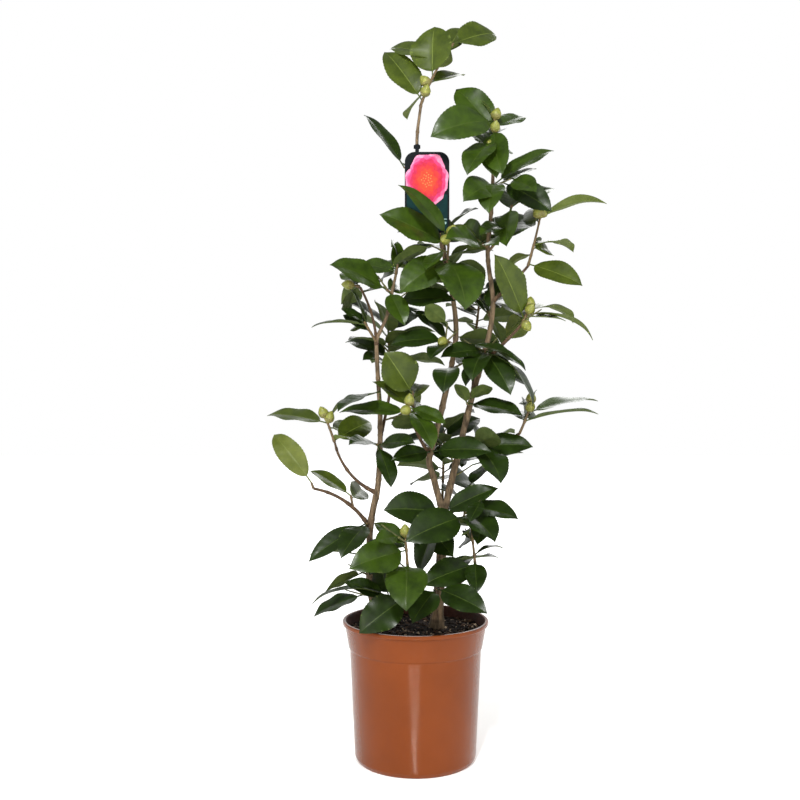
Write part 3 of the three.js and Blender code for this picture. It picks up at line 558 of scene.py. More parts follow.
def bark_rings(limb, number):
    curve = limb["curve"]
    rows = max(int(curve.length / BARK_RING), BARK_LEAST_ROWS)
    shares = np.linspace(0, 1, rows)
    along = shares * curve.length
    smooth = limb_radius(limb, shares)
    plain = smooth if limb["upright"] else smooth * (1 + COLLAR * np.exp(-(along / COLLAR_REACH) ** 2))
    random = seeded(number)
    swell = np.zeros(rows)
    for joint in np.arange(JOINT_SPACING / 2, curve.length, JOINT_SPACING):
        shift = joint + JOINT_SPACING * JOINT_JITTER * (random() - 0.5)
        swell += JOINT_SWELL * np.exp(-((along - shift) / JOINT_REACH) ** 2)
    radii = np.empty((rows, BARK_CORNERS))
    for i in range(rows):
        for k, turn in enumerate(corner_turns(BARK_CORNERS)):
            where = Vector((
                WRINKLES_ROUND * cos(turn), WRINKLES_ROUND * sin(turn),
                along[i] * WRINKLES_ALONG + WRINKLE_SHIFT * number))
            coarse = noise.fractal(where, 1.0, 2.0, WRINKLE_OCTAVES)
            deep = min(smooth[i] / FULL_WRINKLE_RADIUS, MOST_WRINKLE)
            radii[i, k] = plain[i] + swell[i] + WRINKLE * coarse * deep
    rings = tube_rings(curve, radii, shares, BARK_CORNERS)
    if limb["upright"] and curve.at(0)[2] == GROUND:
        rings[0, :, 2] = GROUND - FOOT_SUNK
    return rings


bark = Pile()
for number, limb in enumerate(limbs.values(), 1):
    add_tube(bark, bark_rings(limb, number), 0 if limb["radii"][0] > OLD_WOOD_RADIUS else 1)


# Leaves, as in the part's source but with their true outline, veins, midrib and stalk.
LEAF_ROWS = 34
STALK_ROWS = 4
ACROSS = np.array([-1, -0.78, -0.48, -0.18, -0.022, 0.022, 0.18, 0.48, 0.78, 1])
STALK_RADIUS = 0.95
STALK_BLEND = 0.06
OUTLINE_SKEW = 0.84
OUTLINE_FULL = 0.7
OUTLINE_POINT = 0.34
POINT_START = 10
LEAST_HALF = 0.15
TOOTH = 0.03
TOOTHED = (0.1, 0.96)
FOLD_EASE = 0.3
VEINS = 7
VEIN_LEAN = 1.1
VEIN_DEPTH = 0.24
WAVE = 0.07
WAVES_SPREAD = 1.4
TWIST = 16
TWIST_START = 0.4
TIP_START = 0.72
TIP_CURL = 0.035
BLADE_THICK = 0.45
RIB_PROUD = 0.8
RIB_HALF = 0.1
RIB_TAPER = 0.75
TOP, RIB, UNDER = range(3)


def leaf_breadth(leaf):
    return leaf[3] * (leaf[6] if len(leaf) > 6 else LEAF_WIDTH)


def leaf_line(root, leaf, shares):
    """The leaf's centre line, its upward direction at each share of its length, and its side."""
    _, heading, rise, length, roll, droop = leaf[:6]
    chord = direction(heading, rise)
    level = unit(np.array([0, 0, 1.0]) - chord * chord[2])
    roll = radians(roll)
    face = level * cos(roll) + np.cross(chord, level) * sin(roll)
    droop = radians(droop)
    steps = np.diff(shares, prepend=0)
    turns = droop * (0.5 - (shares + np.concatenate(([0], shares[:-1]))) / 2)
    path = chord * (steps * np.cos(turns))[:, None] + face * (steps * np.sin(turns))[:, None]
    centre = root + np.cumsum(path, axis=0) * length
    lean = droop * (0.5 - shares)
    up = face * np.cos(lean)[:, None] - chord * np.sin(lean)[:, None]
    return centre, up, np.cross(chord, face)


def coarse_leaf(root, leaf):
    """The part's own leaf with the gap round it, as points and faces, for the touch test."""
    shares, wides = np.array(LEAF_STATIONS).T
    centre, up, across = leaf_line(root, leaf, shares)
    fold = radians(LEAF_FOLD)
    thick = leaf[3] * LEAF_THICK / 2 + GAP
    points = []
    for i, wide in enumerate(wides[:-1]):
        half = leaf_breadth(leaf) * wide / 2 + GAP
        edges = [centre[i] + across * sign * half * cos(fold) + up[i] * half * sin(fold)
                 for sign in (-1, 1)]
        points += [edges[0], centre[i] + up[i] * thick, edges[1], centre[i] - up[i] * thick]
    points.append(centre[-1])
    rings = len(wides) - 1
    faces = grid_faces(rings, 4, closed=True)
    last = 4 * (rings - 1)
    faces += [[last + k, last + (k + 1) % 4, 4 * rings] for k in range(4)]
    return np.array(points), faces


LEAF_SHARES = np.concatenate((
    np.linspace(0, PETIOLE, STALK_ROWS, endpoint=False), np.linspace(PETIOLE, 1, LEAF_ROWS)))
ROWS = len(LEAF_SHARES)
COLUMNS = len(ACROSS)
LEAF_FACES = grid_faces(ROWS, COLUMNS)
LEAF_FACES += [[i + ROWS * COLUMNS for i in face[::-1]] for face in LEAF_FACES]
MIDDLE = COLUMNS // 2 - 1
PART_OF_FACE = np.array([
    RIB if k % (COLUMNS - 1) == MIDDLE else side
    for side in (TOP, UNDER) for k in range((ROWS - 1) * (COLUMNS - 1))])


def outline(blade):
    """The half-width of a camellia leaf along its blade: broad in the middle, drawn to a point."""
    swell = np.sin(pi * np.clip(blade, 0, 1) ** OUTLINE_SKEW)
    return np.clip(swell, 0, 1) ** (OUTLINE_FULL + OUTLINE_POINT * blade ** POINT_START)


def leaf_points(root, leaf, random):
    """The points of one leaf's two faces."""
    centre, up, across = leaf_line(root, leaf, LEAF_SHARES)
    blade = np.clip((LEAF_SHARES - PETIOLE) / (1 - PETIOLE), 0, 1)
    stalk = np.clip(1 - (LEAF_SHARES - PETIOLE) / STALK_BLEND, 0, 1)
    half = np.maximum(leaf_breadth(leaf) * outline(blade) / 2, LEAST_HALF)
    half = np.maximum(half, STALK_RADIUS * stalk)
    toothed = (np.arange(ROWS) % 2 == 1) & (blade > TOOTHED[0]) & (blade < TOOTHED[1])
    reach = half[:, None] * ACROSS[None]
    reach[:, [0, -1]] *= np.where(toothed, 1 - TOOTH, 1)[:, None]
    a = np.abs(ACROSS)[None]
    fold = radians(LEAF_FOLD)
    cup = half[:, None] * sin(fold) * (a - FOLD_EASE * a ** 3)
    vein_wave = np.sin(2 * pi * (VEINS * blade[:, None] - VEIN_LEAN * a + random()))
    veins = VEIN_DEPTH * vein_wave * 4 * a * (1 - a)
    waves = 1 + WAVES_SPREAD * random()
    shift = random()
    ripple = WAVE * half[:, None] * a ** 2 * np.sin(2 * pi * (waves * blade[:, None] + shift))
    curl = -leaf[3] * TIP_CURL * np.clip((blade - TIP_START) / (1 - TIP_START), 0, 1) ** 2
    height = (cup + veins + ripple) * (1 - stalk[:, None]) + curl[:, None]
    twist = np.radians(TWIST * (2 * random() - 1)) * (blade - TWIST_START)
    over = across[None] * np.cos(twist)[:, None] + up * np.sin(twist)[:, None]
    above_it = up * np.cos(twist)[:, None] - across[None] * np.sin(twist)[:, None]
    rib = np.where(a < RIB_HALF, RIB_PROUD * (1 - RIB_TAPER * blade[:, None]), 0)
    lift = stalk[:, None] * STALK_RADIUS * np.sqrt(np.clip(1 - a ** 2, 0, 1))
    low = height - lift - (1 - stalk[:, None]) * (BLADE_THICK * (1 - a ** 4) + rib)
    sheet = centre[:, None] + over[:, None] * (reach * cos(fold))[..., None]
    return np.stack([sheet + above_it[:, None] * side[..., None] for side in (height + lift, low)])


# What has claimed its space so far. A leaf or bud that would touch any of it is left out.
taken = []


def claim(owner, points, faces):
    tree = BVHTree.FromPolygons(points.tolist(), faces)
    taken.append((owner, tree, points.min(0), points.max(0)))


def blocked(owner, points, faces):
    low, high = points.min(0), points.max(0)
    tree = None
    for other, other_tree, other_low, other_high in taken:
        if other == owner or np.any(low > other_high) or np.any(other_low > high):
            continue
        tree = tree or BVHTree.FromPolygons(points.tolist(), faces)
        if tree.overlap(other_tree):
            return True
    return False


def claim_tube(owner, rings):
    claim(owner, rings.reshape(-1, 3), ring_faces(rings))


def round_rings(profile, corners):
    """A ring of points round the upright axis for each radius and height of a profile."""
    turns = corner_turns(corners)
    spread = np.stack((np.cos(turns), np.sin(turns), np.zeros(corners)), -1)
    profile = np.array(profile, float)
    rings = profile[:, None, None, 0] * spread[None]
    rings[..., 2] += profile[:, None, 1]
    return rings


for name, limb in limbs.items():
    shares = np.linspace(0, 1, limb["steps"] + 1)
    claim_tube(name, tube_rings(
        limb["curve"], limb_radius(limb, shares), shares, limb["sides"]))
claim("label", np.array([
    (x, y, z) for x in (CARD_X - CARD_WIDTH / 2, CARD_X + CARD_WIDTH / 2)
    for y in (CARD_Y - CARD_THICK, CARD_Y) for z in (CARD_BOTTOM, CARD_TOP)], float),
    [[0, 1, 3, 2], [4, 6, 7, 5], [0, 4, 5, 1], [2, 3, 7, 6], [0, 2, 6, 4], [1, 5, 7, 3]])
claim_tube("pot", round_rings([
    (POT_BASE_RADIUS, 0), (POT_STEP_RADIUS, POT_STEP_HEIGHT), (POT_NECK_RADIUS, POT_HEIGHT - LIP_HEIGHT),
    (LIP_RADIUS, POT_HEIGHT - LIP_HEIGHT), (LIP_RADIUS, POT_HEIGHT),
    (LIP_RADIUS - LIP_BAND, POT_HEIGHT), (POT_NECK_RADIUS - WALL, MIX_TOP), (1, MIX_TOP)], POT_SIDES))

# The rule for leaves that are not set one by one. A pair is a number and how far it spreads.
GOLDEN = 137.5
RULE = dict(place=(0.25, 0.98), jitter=20, lift=26, drop=12, lift_spread=22, length=(66, 18),
            roll=(0, 44), droop=(20, 20))


def above(pair, random):
    """A seeded number from the first of a pair up to the two together."""
    return pair[0] + pair[1] * random()


def around(pair, random):
    """A seeded number to either side of the first of a pair, as far as the second."""
    return pair[0] + pair[1] * (2 * random() - 1)


def ruled_leaves(row):
    """The leaves of a spray that the rule sets: one to a joint, each turned by the golden angle."""
    random = seeded(row["seed"])
    low, high = RULE["place"]
    leaves = []
    for i in range(row["count"]):
        place = low + (high - low) * i / (row["count"] - 1)
        heading = row["twig"][0] + GOLDEN * i + RULE["jitter"] * random()
        rise = RULE["lift"] * place - RULE["drop"] + RULE["lift_spread"] * random()
        leaves.append([place, heading, rise, above(RULE["length"], random),
                       around(RULE["roll"], random), above(RULE["droop"], random)])
    return leaves


# Leaves behind a spray: they head away from the plant's best side and turn their faces to its
# flanks, one to each side in turn.
BEHIND_COUNT = 2
BEHIND_SEED = 500
BEHIND = dict(place=(0.1, 0.95), heading=(90, 36), rise=(6, 32), length=(58, 20), roll=(34, 26),
              droop=(14, 26))


def leaves_behind(row, number):
    random = seeded(BEHIND_SEED + number)
    leaves = []
    for i in range(row.get("behind", BEHIND_COUNT)):
        side = 1 - 2 * (i % 2)
        leaves.append([
            between(BEHIND["place"], random()), around(BEHIND["heading"], random),
            around(BEHIND["rise"], random), above(BEHIND["length"], random),
            side * above(BEHIND["roll"], random), above(BEHIND["droop"], random)])
    return leaves


# Buds: a pointed core with overlapping scales in tiers.
BUD_ROWS = 12
BUD_CORNERS = 12
BUD_SKEW = 0.75
BUD_FULL = 0.7
BUD_STALK = 0.25
BUD_STALK_END = 0.3
CORE_INSET = 0.1
CORE_LEAST = 0.05
# Tiers of scales: where they start and end along the bud, how many, and how far they stand out.
BUD_TIERS = [(0.0, 0.42, 3, 0.75), (0.08, 0.68, 4, 0.5), (0.28, 0.93, 4, 0.28)]
SCALE_GRID = 7
SCALE_OVERLAP = 0.62
SCALE_NARROW = 0.98
SCALE_POINT = 2.2
SCALE_HUG = 0.35


def bud_radius(shares):
    swell = np.sin(pi * np.clip(shares, 0, 1) ** BUD_SKEW)
    stalk = BUD_STALK * (shares < BUD_STALK_END)
    return BUD_RADIUS * np.maximum(np.clip(swell, 0, 1) ** BUD_FULL, stalk)


def bud_point(root, heading, rise, shares, turns, radii):
    """A point on a bud, or an array of them: how far along, which way round and how far out."""
    along = direction(heading, rise)
    side = np.array([-sin(radians(heading)), cos(radians(heading)), 0])
    return (root + along * (BUD_LENGTH * shares)[..., None] + side * (radii * np.cos(turns))[..., None]
            + np.cross(along, side) * (radii * np.sin(turns))[..., None])


def add_bud(pile, bud, random):
    shares, turns = np.broadcast_arrays(
        np.linspace(0, 1, BUD_ROWS)[:, None], corner_turns(BUD_CORNERS)[None])
    core = bud_point(*bud, shares, turns, np.maximum(bud_radius(shares) - CORE_INSET, CORE_LEAST))
    pile.add(core, grid_faces(BUD_ROWS, BUD_CORNERS, closed=True))
    reach = np.linspace(0, 1, SCALE_GRID)[:, None]
    spread = np.linspace(-1, 1, SCALE_GRID)[None]
    for start, end, count, proud in BUD_TIERS:
        offset = 2 * pi * random()
        shares = start + (end - start) * reach + 0 * spread
        wide = (2 * pi / count) * SCALE_OVERLAP * np.sqrt(1 - SCALE_NARROW * reach ** SCALE_POINT)
        lift = proud * (0.5 + 0.5 * reach) * (1 - SCALE_HUG * spread ** 2)
        for k in range(count):
            turns = offset + 2 * pi * k / count + wide * spread
            points = bud_point(*bud, shares, turns, bud_radius(shares) + lift)
            pile.add(points, grid_faces(SCALE_GRID, SCALE_GRID), 1 if start == 0 else 0)


def coarse_bud(bud):
    shares, radii = np.array(BUD_STATIONS).T[..., None]
    rings = bud_point(*bud, *np.broadcast_arrays(
        shares, corner_turns(BUD_SIDES)[None], BUD_RADIUS * radii))
    return rings.reshape(-1, 3), ring_faces(rings)


# Twigs: eight-sided, with a small swelling under each leaf.
TWIG_RING = 2.0
TWIG_CORNERS = 8
TWIG_LEAST_ROWS = 6
FINE_ENDS = (1.3, 0.8)
NODE_SWELL = 0.35
NODE_REACH = 1.8
TIP_TAPER = 0.6


def twig_rings(curve, ends, places):
    rows = max(int(curve.length / TWIG_RING), TWIG_LEAST_ROWS)
    shares = np.linspace(0, 1, rows)
    radii = between(ends, shares)
    for place in places:
        radii = radii + NODE_SWELL * np.exp(-((shares - place) * curve.length / NODE_REACH) ** 2)
    radii[-1] *= TIP_TAPER
    return tube_rings(curve, radii, shares, TWIG_CORNERS)


def by_spray(groups):
    """The value of each spray, from the names under each value."""
    return {"spray_" + name: value for value, names in groups.items() for name in names.split()}


# The tone of each spray's leaves. A spray that isn't named here has the middle one. The dark tone is partly
# the deeper green of older leaves and partly painted shade, given to the low, inner and back sprays where
# shade falls in the crown.
OLD_AND_SHADED, MIDDLE_TONE, BRIGHT, YOUNG = range(4)
TONES = by_spray({
    YOUNG: "far_left_low",
    BRIGHT: "top right_outer left_round right_mid far_left_high far_left_inner",
    OLD_AND_SHADED: "left_dark middle_low centre_low left_node right_core right_hanging fork right_level "
          "low_right back_low back_left back_right back_high right_inner centre rim_left rim_right "
          "low_left right_skirt beside_label"})

# Finer twigs: how many a spray sends out. A spray that isn't named here has FINE_COUNT.
FINE_COUNT = 3
FINE_COUNTS = by_spray({
    0: "top right_tip beside_label far_left_low far_left_high left_upper right_shoulder left_node",
    1: "left_tip right_outer rim_left low_left"})
# Twigs that the stems and boughs send out inside the crown: the limb, from and to how far up it
# (heights on a stem, shares of a bough), how many and their seed.
INNER = [
    ("stem_left", 330, 610, 34, 401), ("stem_middle", 370, 690, 50, 402),
    ("stem_right", 370, 730, 48, 403), ("trunk", 188, 315, 60, 404),
    ("stem_left", 205, 320, 34, 405), ("stem_middle", 322, 400, 16, 414),
    ("stem_right", 322, 400, 16, 415), ("bough_left_centre", 0.3, 0.9, 5, 406),
    ("bough_right_lower", 0.3, 0.8, 5, 407), ("bough_right_low", 0.3, 0.9, 6, 408),
    ("bough_low_front", 0.3, 0.9, 6, 409), ("bough_back_low", 0.3, 0.9, 8, 411),
    ("bough_back_left", 0.3, 0.9, 8, 412), ("bough_back_right", 0.3, 0.9, 8, 413)]
FINE = dict(place=(0.3, 0.95), jitter=40, rise=(8, 46), length=(22, 16), bend=8, leaves=3, short=0.02,
            leaf_jitter=60, leaf_rise=(-34, 64), leaf_length=(44, 20), roll=(0, 55), droop=(0, 24))
INNER_SIZE = 1.4
REACH_MARGIN = 4
FINE_SEED = 300
LEAF_SEED = 700
BUD_SEED = 50

sprays = []
for row in SPRAYS + FILLED:
    curve = bending(spot(row["on"], row["at"]), *row["twig"])
    sprays.append(dict(row=row, curve=curve, places=[]))
    shares = np.linspace(0, 1, TWIG_RINGS)
    claim_tube(row["name"], tube_rings(curve, between(TWIG_ENDS, shares), shares, TWIG_SIDES))

leaves_made = []
buds_made = []
for spray in sprays:
    row = spray["row"]
    for place, heading, rise in row.get("buds", []):
        bud = (spray["curve"].at(place), heading, rise)
        points, faces = coarse_bud(bud)
        if not blocked(row["name"], points, faces):
            claim(row["name"], points, faces)
            buds_made.append(bud)


def add_leaves(spray, leaves):
    name = spray["row"]["name"]
    for leaf in leaves:
        root = spray["curve"].at(leaf[0])
        points, faces = coarse_leaf(root, leaf)
        if not blocked(name, points, faces):
            claim(name, points, faces)
            leaves_made.append((name, root, leaf))
            spray["places"].append(leaf[0])


for spray in sprays:
    add_leaves(spray, spray["row"]["leaves"] or ruled_leaves(spray["row"]))
for number, spray in enumerate(sprays[:len(SPRAYS)]):
    add_leaves(spray, leaves_behind(spray["row"], number))

fine_twigs = []
reaches = []
for spray in sprays:
    node_low, node_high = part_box(spray["row"]["name"])
    reaches.append((np.array(node_low) / SCALE - REACH_MARGIN,
                    np.array(node_high) / SCALE + REACH_MARGIN))


def grow_fine(start, heading, random, owner, reach, size=1.0):
    """One finer twig and its leaves. A leaf out of reach or touching another is left out."""
    rise = above(FINE["rise"], random)
    curve = bending(start, heading, rise, above(FINE["length"], random), FINE["bend"])
    grown = []
    for j in range(FINE["leaves"]):
        leaf = [(j + 1) / FINE["leaves"] - FINE["short"],
                heading + GOLDEN * j + FINE["leaf_jitter"] * random(),
                above(FINE["leaf_rise"], random), size * above(FINE["leaf_length"], random),
                around(FINE["roll"], random), above(FINE["droop"], random)]
        root = curve.at(leaf[0])
        points, faces = coarse_leaf(root, leaf)
        low, high = points.min(0), points.max(0)
        inside = any(np.all(low > near) and np.all(high < far) for near, far in reach)
        if inside and not blocked("", points, faces):
            claim("fine", points, faces)
            grown.append((owner, root, leaf))
    if grown:
        fine_twigs.append((curve, [leaf[0] for _, _, leaf in grown]))
        leaves_made.extend(grown)


for number, spray in enumerate(sprays):
    row = spray["row"]
    random = seeded(FINE_SEED + number)
    for k in range(FINE_COUNTS.get(row["name"], FINE_COUNT)):
        place = between(FINE["place"], random())
        heading = row["twig"][0] + GOLDEN * (k + 1) + FINE["jitter"] * random()
        grow_fine(spray["curve"].at(place), heading, random, row["name"], [reaches[number]])
for on, low, high, count, seed in INNER:
    random = seeded(seed)
    for k in range(count):
        at = low + (high - low) * (k + random()) / count
        heading = GOLDEN * k + FINE["jitter"] * random()
        grow_fine(spot(on, at), heading, random, "", reaches, INNER_SIZE)

twigs = Pile()
for spray in sprays:
    add_tube(twigs, twig_rings(spray["curve"], TWIG_ENDS, spray["places"]))
for curve, places in fine_twigs:
    add_tube(twigs, twig_rings(curve, FINE_ENDS, places), 1)

buds = Pile()
for number, bud in enumerate(buds_made):
    add_bud(buds, bud, seeded(BUD_SEED + number))

# The leaves' materials: one for each tone, then a dark and a pale one for ribs and for undersides.
FIRST_RIB = 4
FIRST_UNDER = 6
LEAVES_TO_A_PIECE = 143


def add_leaf(pile, number):
    owner, root, leaf = leaves_made[number]
    # Leaves of the twigs inside the crown, which belong to no spray, take the dark tone: painted shade of
    # the crown's interior.
    tone = TONES.get(owner, MIDDLE_TONE if owner else OLD_AND_SHADED)
    pale = tone > MIDDLE_TONE
    part = np.array([tone, FIRST_RIB + pale, FIRST_UNDER + pale])[PART_OF_FACE]
    pile.add(leaf_points(root, leaf, seeded(LEAF_SEED + number)), LEAF_FACES, part)


bark.build("limbs", [
    finish("bark_old", (54, 45, 33), (116, 99, 77), 260, (0.7, 0.9), 0.5, (1, 1, 0.25), specular=0.2),
    finish("bark_young", (46, 34, 24), (88, 69, 49), 320, (0.6, 0.85), 0.4, (1, 1, 0.3), specular=0.2)],
    list(limbs))
twigs.build("twigs", [
    finish("twig", (66, 50, 30), (98, 80, 44), 320, (0.55, 0.8), 0.3),
    finish("fine_twig", (60, 62, 28), (88, 86, 40), 320, (0.5, 0.75), 0.3)],
    [row["name"] for row in SPRAYS + FILLED])
buds.build("buds", [
    finish("bud_green", (94, 102, 34), (130, 132, 54), 300, (0.42, 0.6), 0.2),
    finish("bud_scale", (88, 90, 40), (124, 118, 60), 300, (0.45, 0.65), 0.2)], [])
glossy = dict(grain=60, bump=0.08, coat=0.04)
leaf_finishes = [
    # The dark tone: the deeper green of older leaves, darkened further as painted shade for the low, inner
    # and back leaves.
    finish("leaf_old_and_painted_shade", (18, 31, 4), (30, 47, 7), rough=(0.3, 0.42), specular=0.22, **glossy),
    finish("leaf_middle", (31, 47, 6), (48, 68, 11), rough=(0.3, 0.42), specular=0.22, **glossy),
    finish("leaf_bright", (43, 55, 10), (62, 75, 17), rough=(0.32, 0.44), specular=0.22, **glossy),
    finish("leaf_young", (70, 80, 24), (88, 97, 36), rough=(0.34, 0.46), specular=0.25, **glossy)]
leaf_finishes += finishes([
    ("rib_dark", (44, 60, 16), (60, 76, 24)), ("rib_pale", (78, 92, 32), (96, 108, 46))],
    grain=200, rough=(0.4, 0.55), specular=0.25)
leaf_finishes += finishes([
    ("under_dark", (56, 70, 30), (74, 86, 42)), ("under_pale", (80, 94, 40), (98, 110, 54))],
    grain=90, rough=(0.62, 0.78), bump=0.15, specular=0.12)
for piece, start in enumerate(range(0, len(leaves_made), LEAVES_TO_A_PIECE), 1):
    pile = Pile()
    chosen = range(start, min(start + LEAVES_TO_A_PIECE, len(leaves_made)))
    for number in chosen:
        add_leaf(pile, number)
    owners = {leaves_made[number][0] for number in chosen} - {""}
    pile.build("leaves_%d" % piece, leaf_finishes, sorted(owners))

# The pot: a lathed wall with a rolled lip, a step and a foot, with its drain holes cut through, and a darker
# finish inside that is painted shade.
POT_CORNERS = 144
LIP_ROUND = 1.6
ROUND_STEPS = 4
ROUND_MOST = 0.45
AXIS_RADIUS = 1
DRAIN_CORNERS = 24
RIDGE_SPACING = 0.0009
RIDGE_DEPTH = 0.000045


def ribbed(material):
    """Fine rings round the pot, left by its mould, that draw its highlight out into a streak."""
    tree = material.node_tree
    shader = tree.nodes["Principled BSDF"]
    grain = shader.inputs["Normal"].links[0].from_node
    place = new_node(tree, "ShaderNodeTexCoord")
    split = new_node(tree, "ShaderNodeSeparateXYZ")
    turns = new_node(tree, "ShaderNodeMath")
    turns.operation = "MULTIPLY"
    turns.inputs[1].default_value = 2 * pi / RIDGE_SPACING
    wave = new_node(tree, "ShaderNodeMath")
    wave.operation = "SINE"
    relief = new_node(tree, "ShaderNodeBump", Strength=1.0, Distance=RIDGE_DEPTH)
    wire(tree, (place, "Object", split, "Vector"), (split, "Z", turns, 0), (turns, "Value", wave, 0),
         (wave, "Value", relief, "Height"), (grain, "Normal", relief, "Normal"),
         (relief, "Normal", shader, "Normal"))


def rounded(profile):
    """A profile with each inner corner eased by a short curve."""
    points = [np.array(point, float) for point in profile]
    eased = [points[0]]
    for before, here, after in zip(points, points[1:], points[2:]):
        back, on = before - here, after - here
        cut = min(LIP_ROUND, np.linalg.norm(back) * ROUND_MOST, np.linalg.norm(on) * ROUND_MOST)
        start, end = here + unit(back) * cut, here + unit(on) * cut
        for t in np.linspace(0, 1, ROUND_STEPS + 1):
            eased.append(start * (1 - t) ** 2 + here * 2 * t * (1 - t) + end * t ** 2)
    return eased + [points[-1]]


neck_height = POT_HEIGHT - LIP_HEIGHT
lip_inside = (LIP_RADIUS - LIP_BAND, POT_HEIGHT)
outer_rows = rounded([
    (AXIS_RADIUS, 0), (POT_BASE_RADIUS - BASE_CORNER / 2, 0), (POT_BASE_RADIUS, BASE_CORNER),
    (POT_STEP_RADIUS, POT_STEP_HEIGHT), (POT_STEP_RADIUS + STEP_EDGE, POT_STEP_HEIGHT + STEP_EDGE),
    (POT_NECK_RADIUS, neck_height), (LIP_RADIUS, neck_height), (LIP_RADIUS, POT_HEIGHT), lip_inside])
inner_rows = rounded([
    lip_inside, (POT_NECK_RADIUS - WALL, neck_height), (POT_STEP_RADIUS - WALL, POT_STEP_HEIGHT),
    (POT_BASE_RADIUS - WALL, BASE_CORNER), (POT_BASE_RADIUS - BASE_CORNER, WALL),
    (AXIS_RADIUS, WALL)])[1:]
pot = Pile()
add_tube(pot, round_rings(outer_rows + inner_rows, POT_CORNERS))
# The inner wall and floor take a second, darker finish: painted shade for the shadow inside the pot.
inner_shade_faces = np.zeros(len(pot.faces), int)
inner_shade_faces[(len(outer_rows) - 1) * POT_CORNERS:(len(outer_rows) + len(inner_rows) - 1) * POT_CORNERS] = 1
pot.materials = [inner_shade_faces]
pot_finish = finish("pot_plastic", (104, 49, 14), (113, 54, 17), 14, (0.13, 0.17), 0.0, specular=0.17)
ribbed(pot_finish)
# The darker finish of the pot's inside: painted shade.
inner_shade_finish = finish("pot_inner_painted_shade", (40, 20, 11), (66, 30, 15), 40, (0.6, 0.8), 0.2, specular=0.2)
pot_piece = pot.build("pot_shell", [pot_finish, inner_shade_finish], ["pot"])

# The drain holes, cut through the base.
drill = Pile()
for k in range(DRAIN_COUNT):
    centre = direction(360 * k / DRAIN_COUNT, 0) * DRAIN_CIRCLE
    bit = round_rings([(DRAIN_RADIUS, -WALL), (DRAIN_RADIUS, 2 * WALL)], DRAIN_CORNERS)
    add_tube(drill, bit + centre)
drill_piece = new_object("drill", new_mesh("drill", np.vstack(drill.vertices), drill.faces))
cut = pot_piece.modifiers.new("drains", "BOOLEAN")
cut.object = drill_piece
cut.solver = "EXACT"
seen = bpy.context.evaluated_depsgraph_get()
pot_piece.data = bpy.data.meshes.new_from_object(pot_piece.evaluated_get(seen))
pot_piece.modifiers.clear()
bpy.data.objects.remove(drill_piece)

# The potting mix: a rough top, closed down inside the pot, with bark chips and pale grit on it.
MIX_RINGS = 46
MIX_CORNERS = 150
MIX_MIDDLE = 0.5
MIX_ROUGH = 1.6
MIX_GRAIN = 0.09
MIX_SLICE = 5.0
MIX_OCTAVES = 5
MIX_CLEAR = WALL + 2 * GAP
CHIPS = 900
CHIP_SEED = 41
CHIP_MARGIN = 3
CHIP_SIZE = (1.0, 2.2)
CHIP_LONG = (1.3, 1.0)
CHIP_FLAT = (0.35, 0.4)
CHIP_BUMPS = (0.75, 0.5)
CHIP_SUNK = 0.35
CHIP_LEAN = 40
CHIP_ACROSS = 70
# Shares of the pieces: up to the first are dark chips, up to the second bark chips, the rest grit.
DARK_CHIPS = 0.5
BARK_CHIPS = 0.8
GRIT_SIZE = 0.7
EDGE_LIMIT = 1.2
mix_radius = (POT_STEP_RADIUS + (POT_NECK_RADIUS - POT_STEP_RADIUS) * (MIX_TOP - POT_STEP_HEIGHT)
              / (neck_height - POT_STEP_HEIGHT) - MIX_CLEAR)


def mix_height(x, y):
    where = Vector((x * MIX_GRAIN, y * MIX_GRAIN, MIX_SLICE))
    return MIX_TOP + MIX_ROUGH * noise.fractal(where, 0.8, 2.1, MIX_OCTAVES)


def mix_rings():
    radii = np.linspace(MIX_MIDDLE, mix_radius, MIX_RINGS)
    top = round_rings([(radius, MIX_TOP) for radius in radii], MIX_CORNERS)
    for point in top.reshape(-1, 3):
        point[2] = mix_height(point[0], point[1])
    sides = round_rings([
        (POT_STEP_RADIUS - MIX_CLEAR, POT_STEP_HEIGHT), (POT_BASE_RADIUS - MIX_CLEAR, BASE_CORNER + GAP),
        (POT_BASE_RADIUS - BASE_CORNER - 2 * GAP, WALL + GAP), (AXIS_RADIUS, WALL + GAP)], MIX_CORNERS)
    return np.concatenate((top, sides))[::-1]


def turned(random):
    """Three seeded directions at right angles."""
    first = direction(360 * random(), CHIP_LEAN * (random() - 0.5))
    second = unit(np.cross(first, direction(360 * random(), CHIP_ACROSS)))
    return np.stack((first, second, np.cross(first, second)))


# A chip is a lump with twelve corners and twenty faces, each turned outward, pushed out of shape.
GOLDEN_RATIO = (1 + sqrt(5)) / 2
LUMP = np.array([[0, a, b * GOLDEN_RATIO] for a in (-1, 1) for b in (-1, 1)], float)
LUMP = np.vstack((LUMP, LUMP[:, [1, 2, 0]], LUMP[:, [2, 0, 1]])) / hypot(1, GOLDEN_RATIO)
LUMP_FACES = []
for face in itertools.combinations(range(len(LUMP)), 3):
    a, b, c = LUMP[list(face)]
    if max(np.linalg.norm(a - b), np.linalg.norm(b - c), np.linalg.norm(a - c)) < EDGE_LIMIT:
        LUMP_FACES.append(face if np.dot(np.cross(b - a, c - a), a) > 0 else face[::-1])

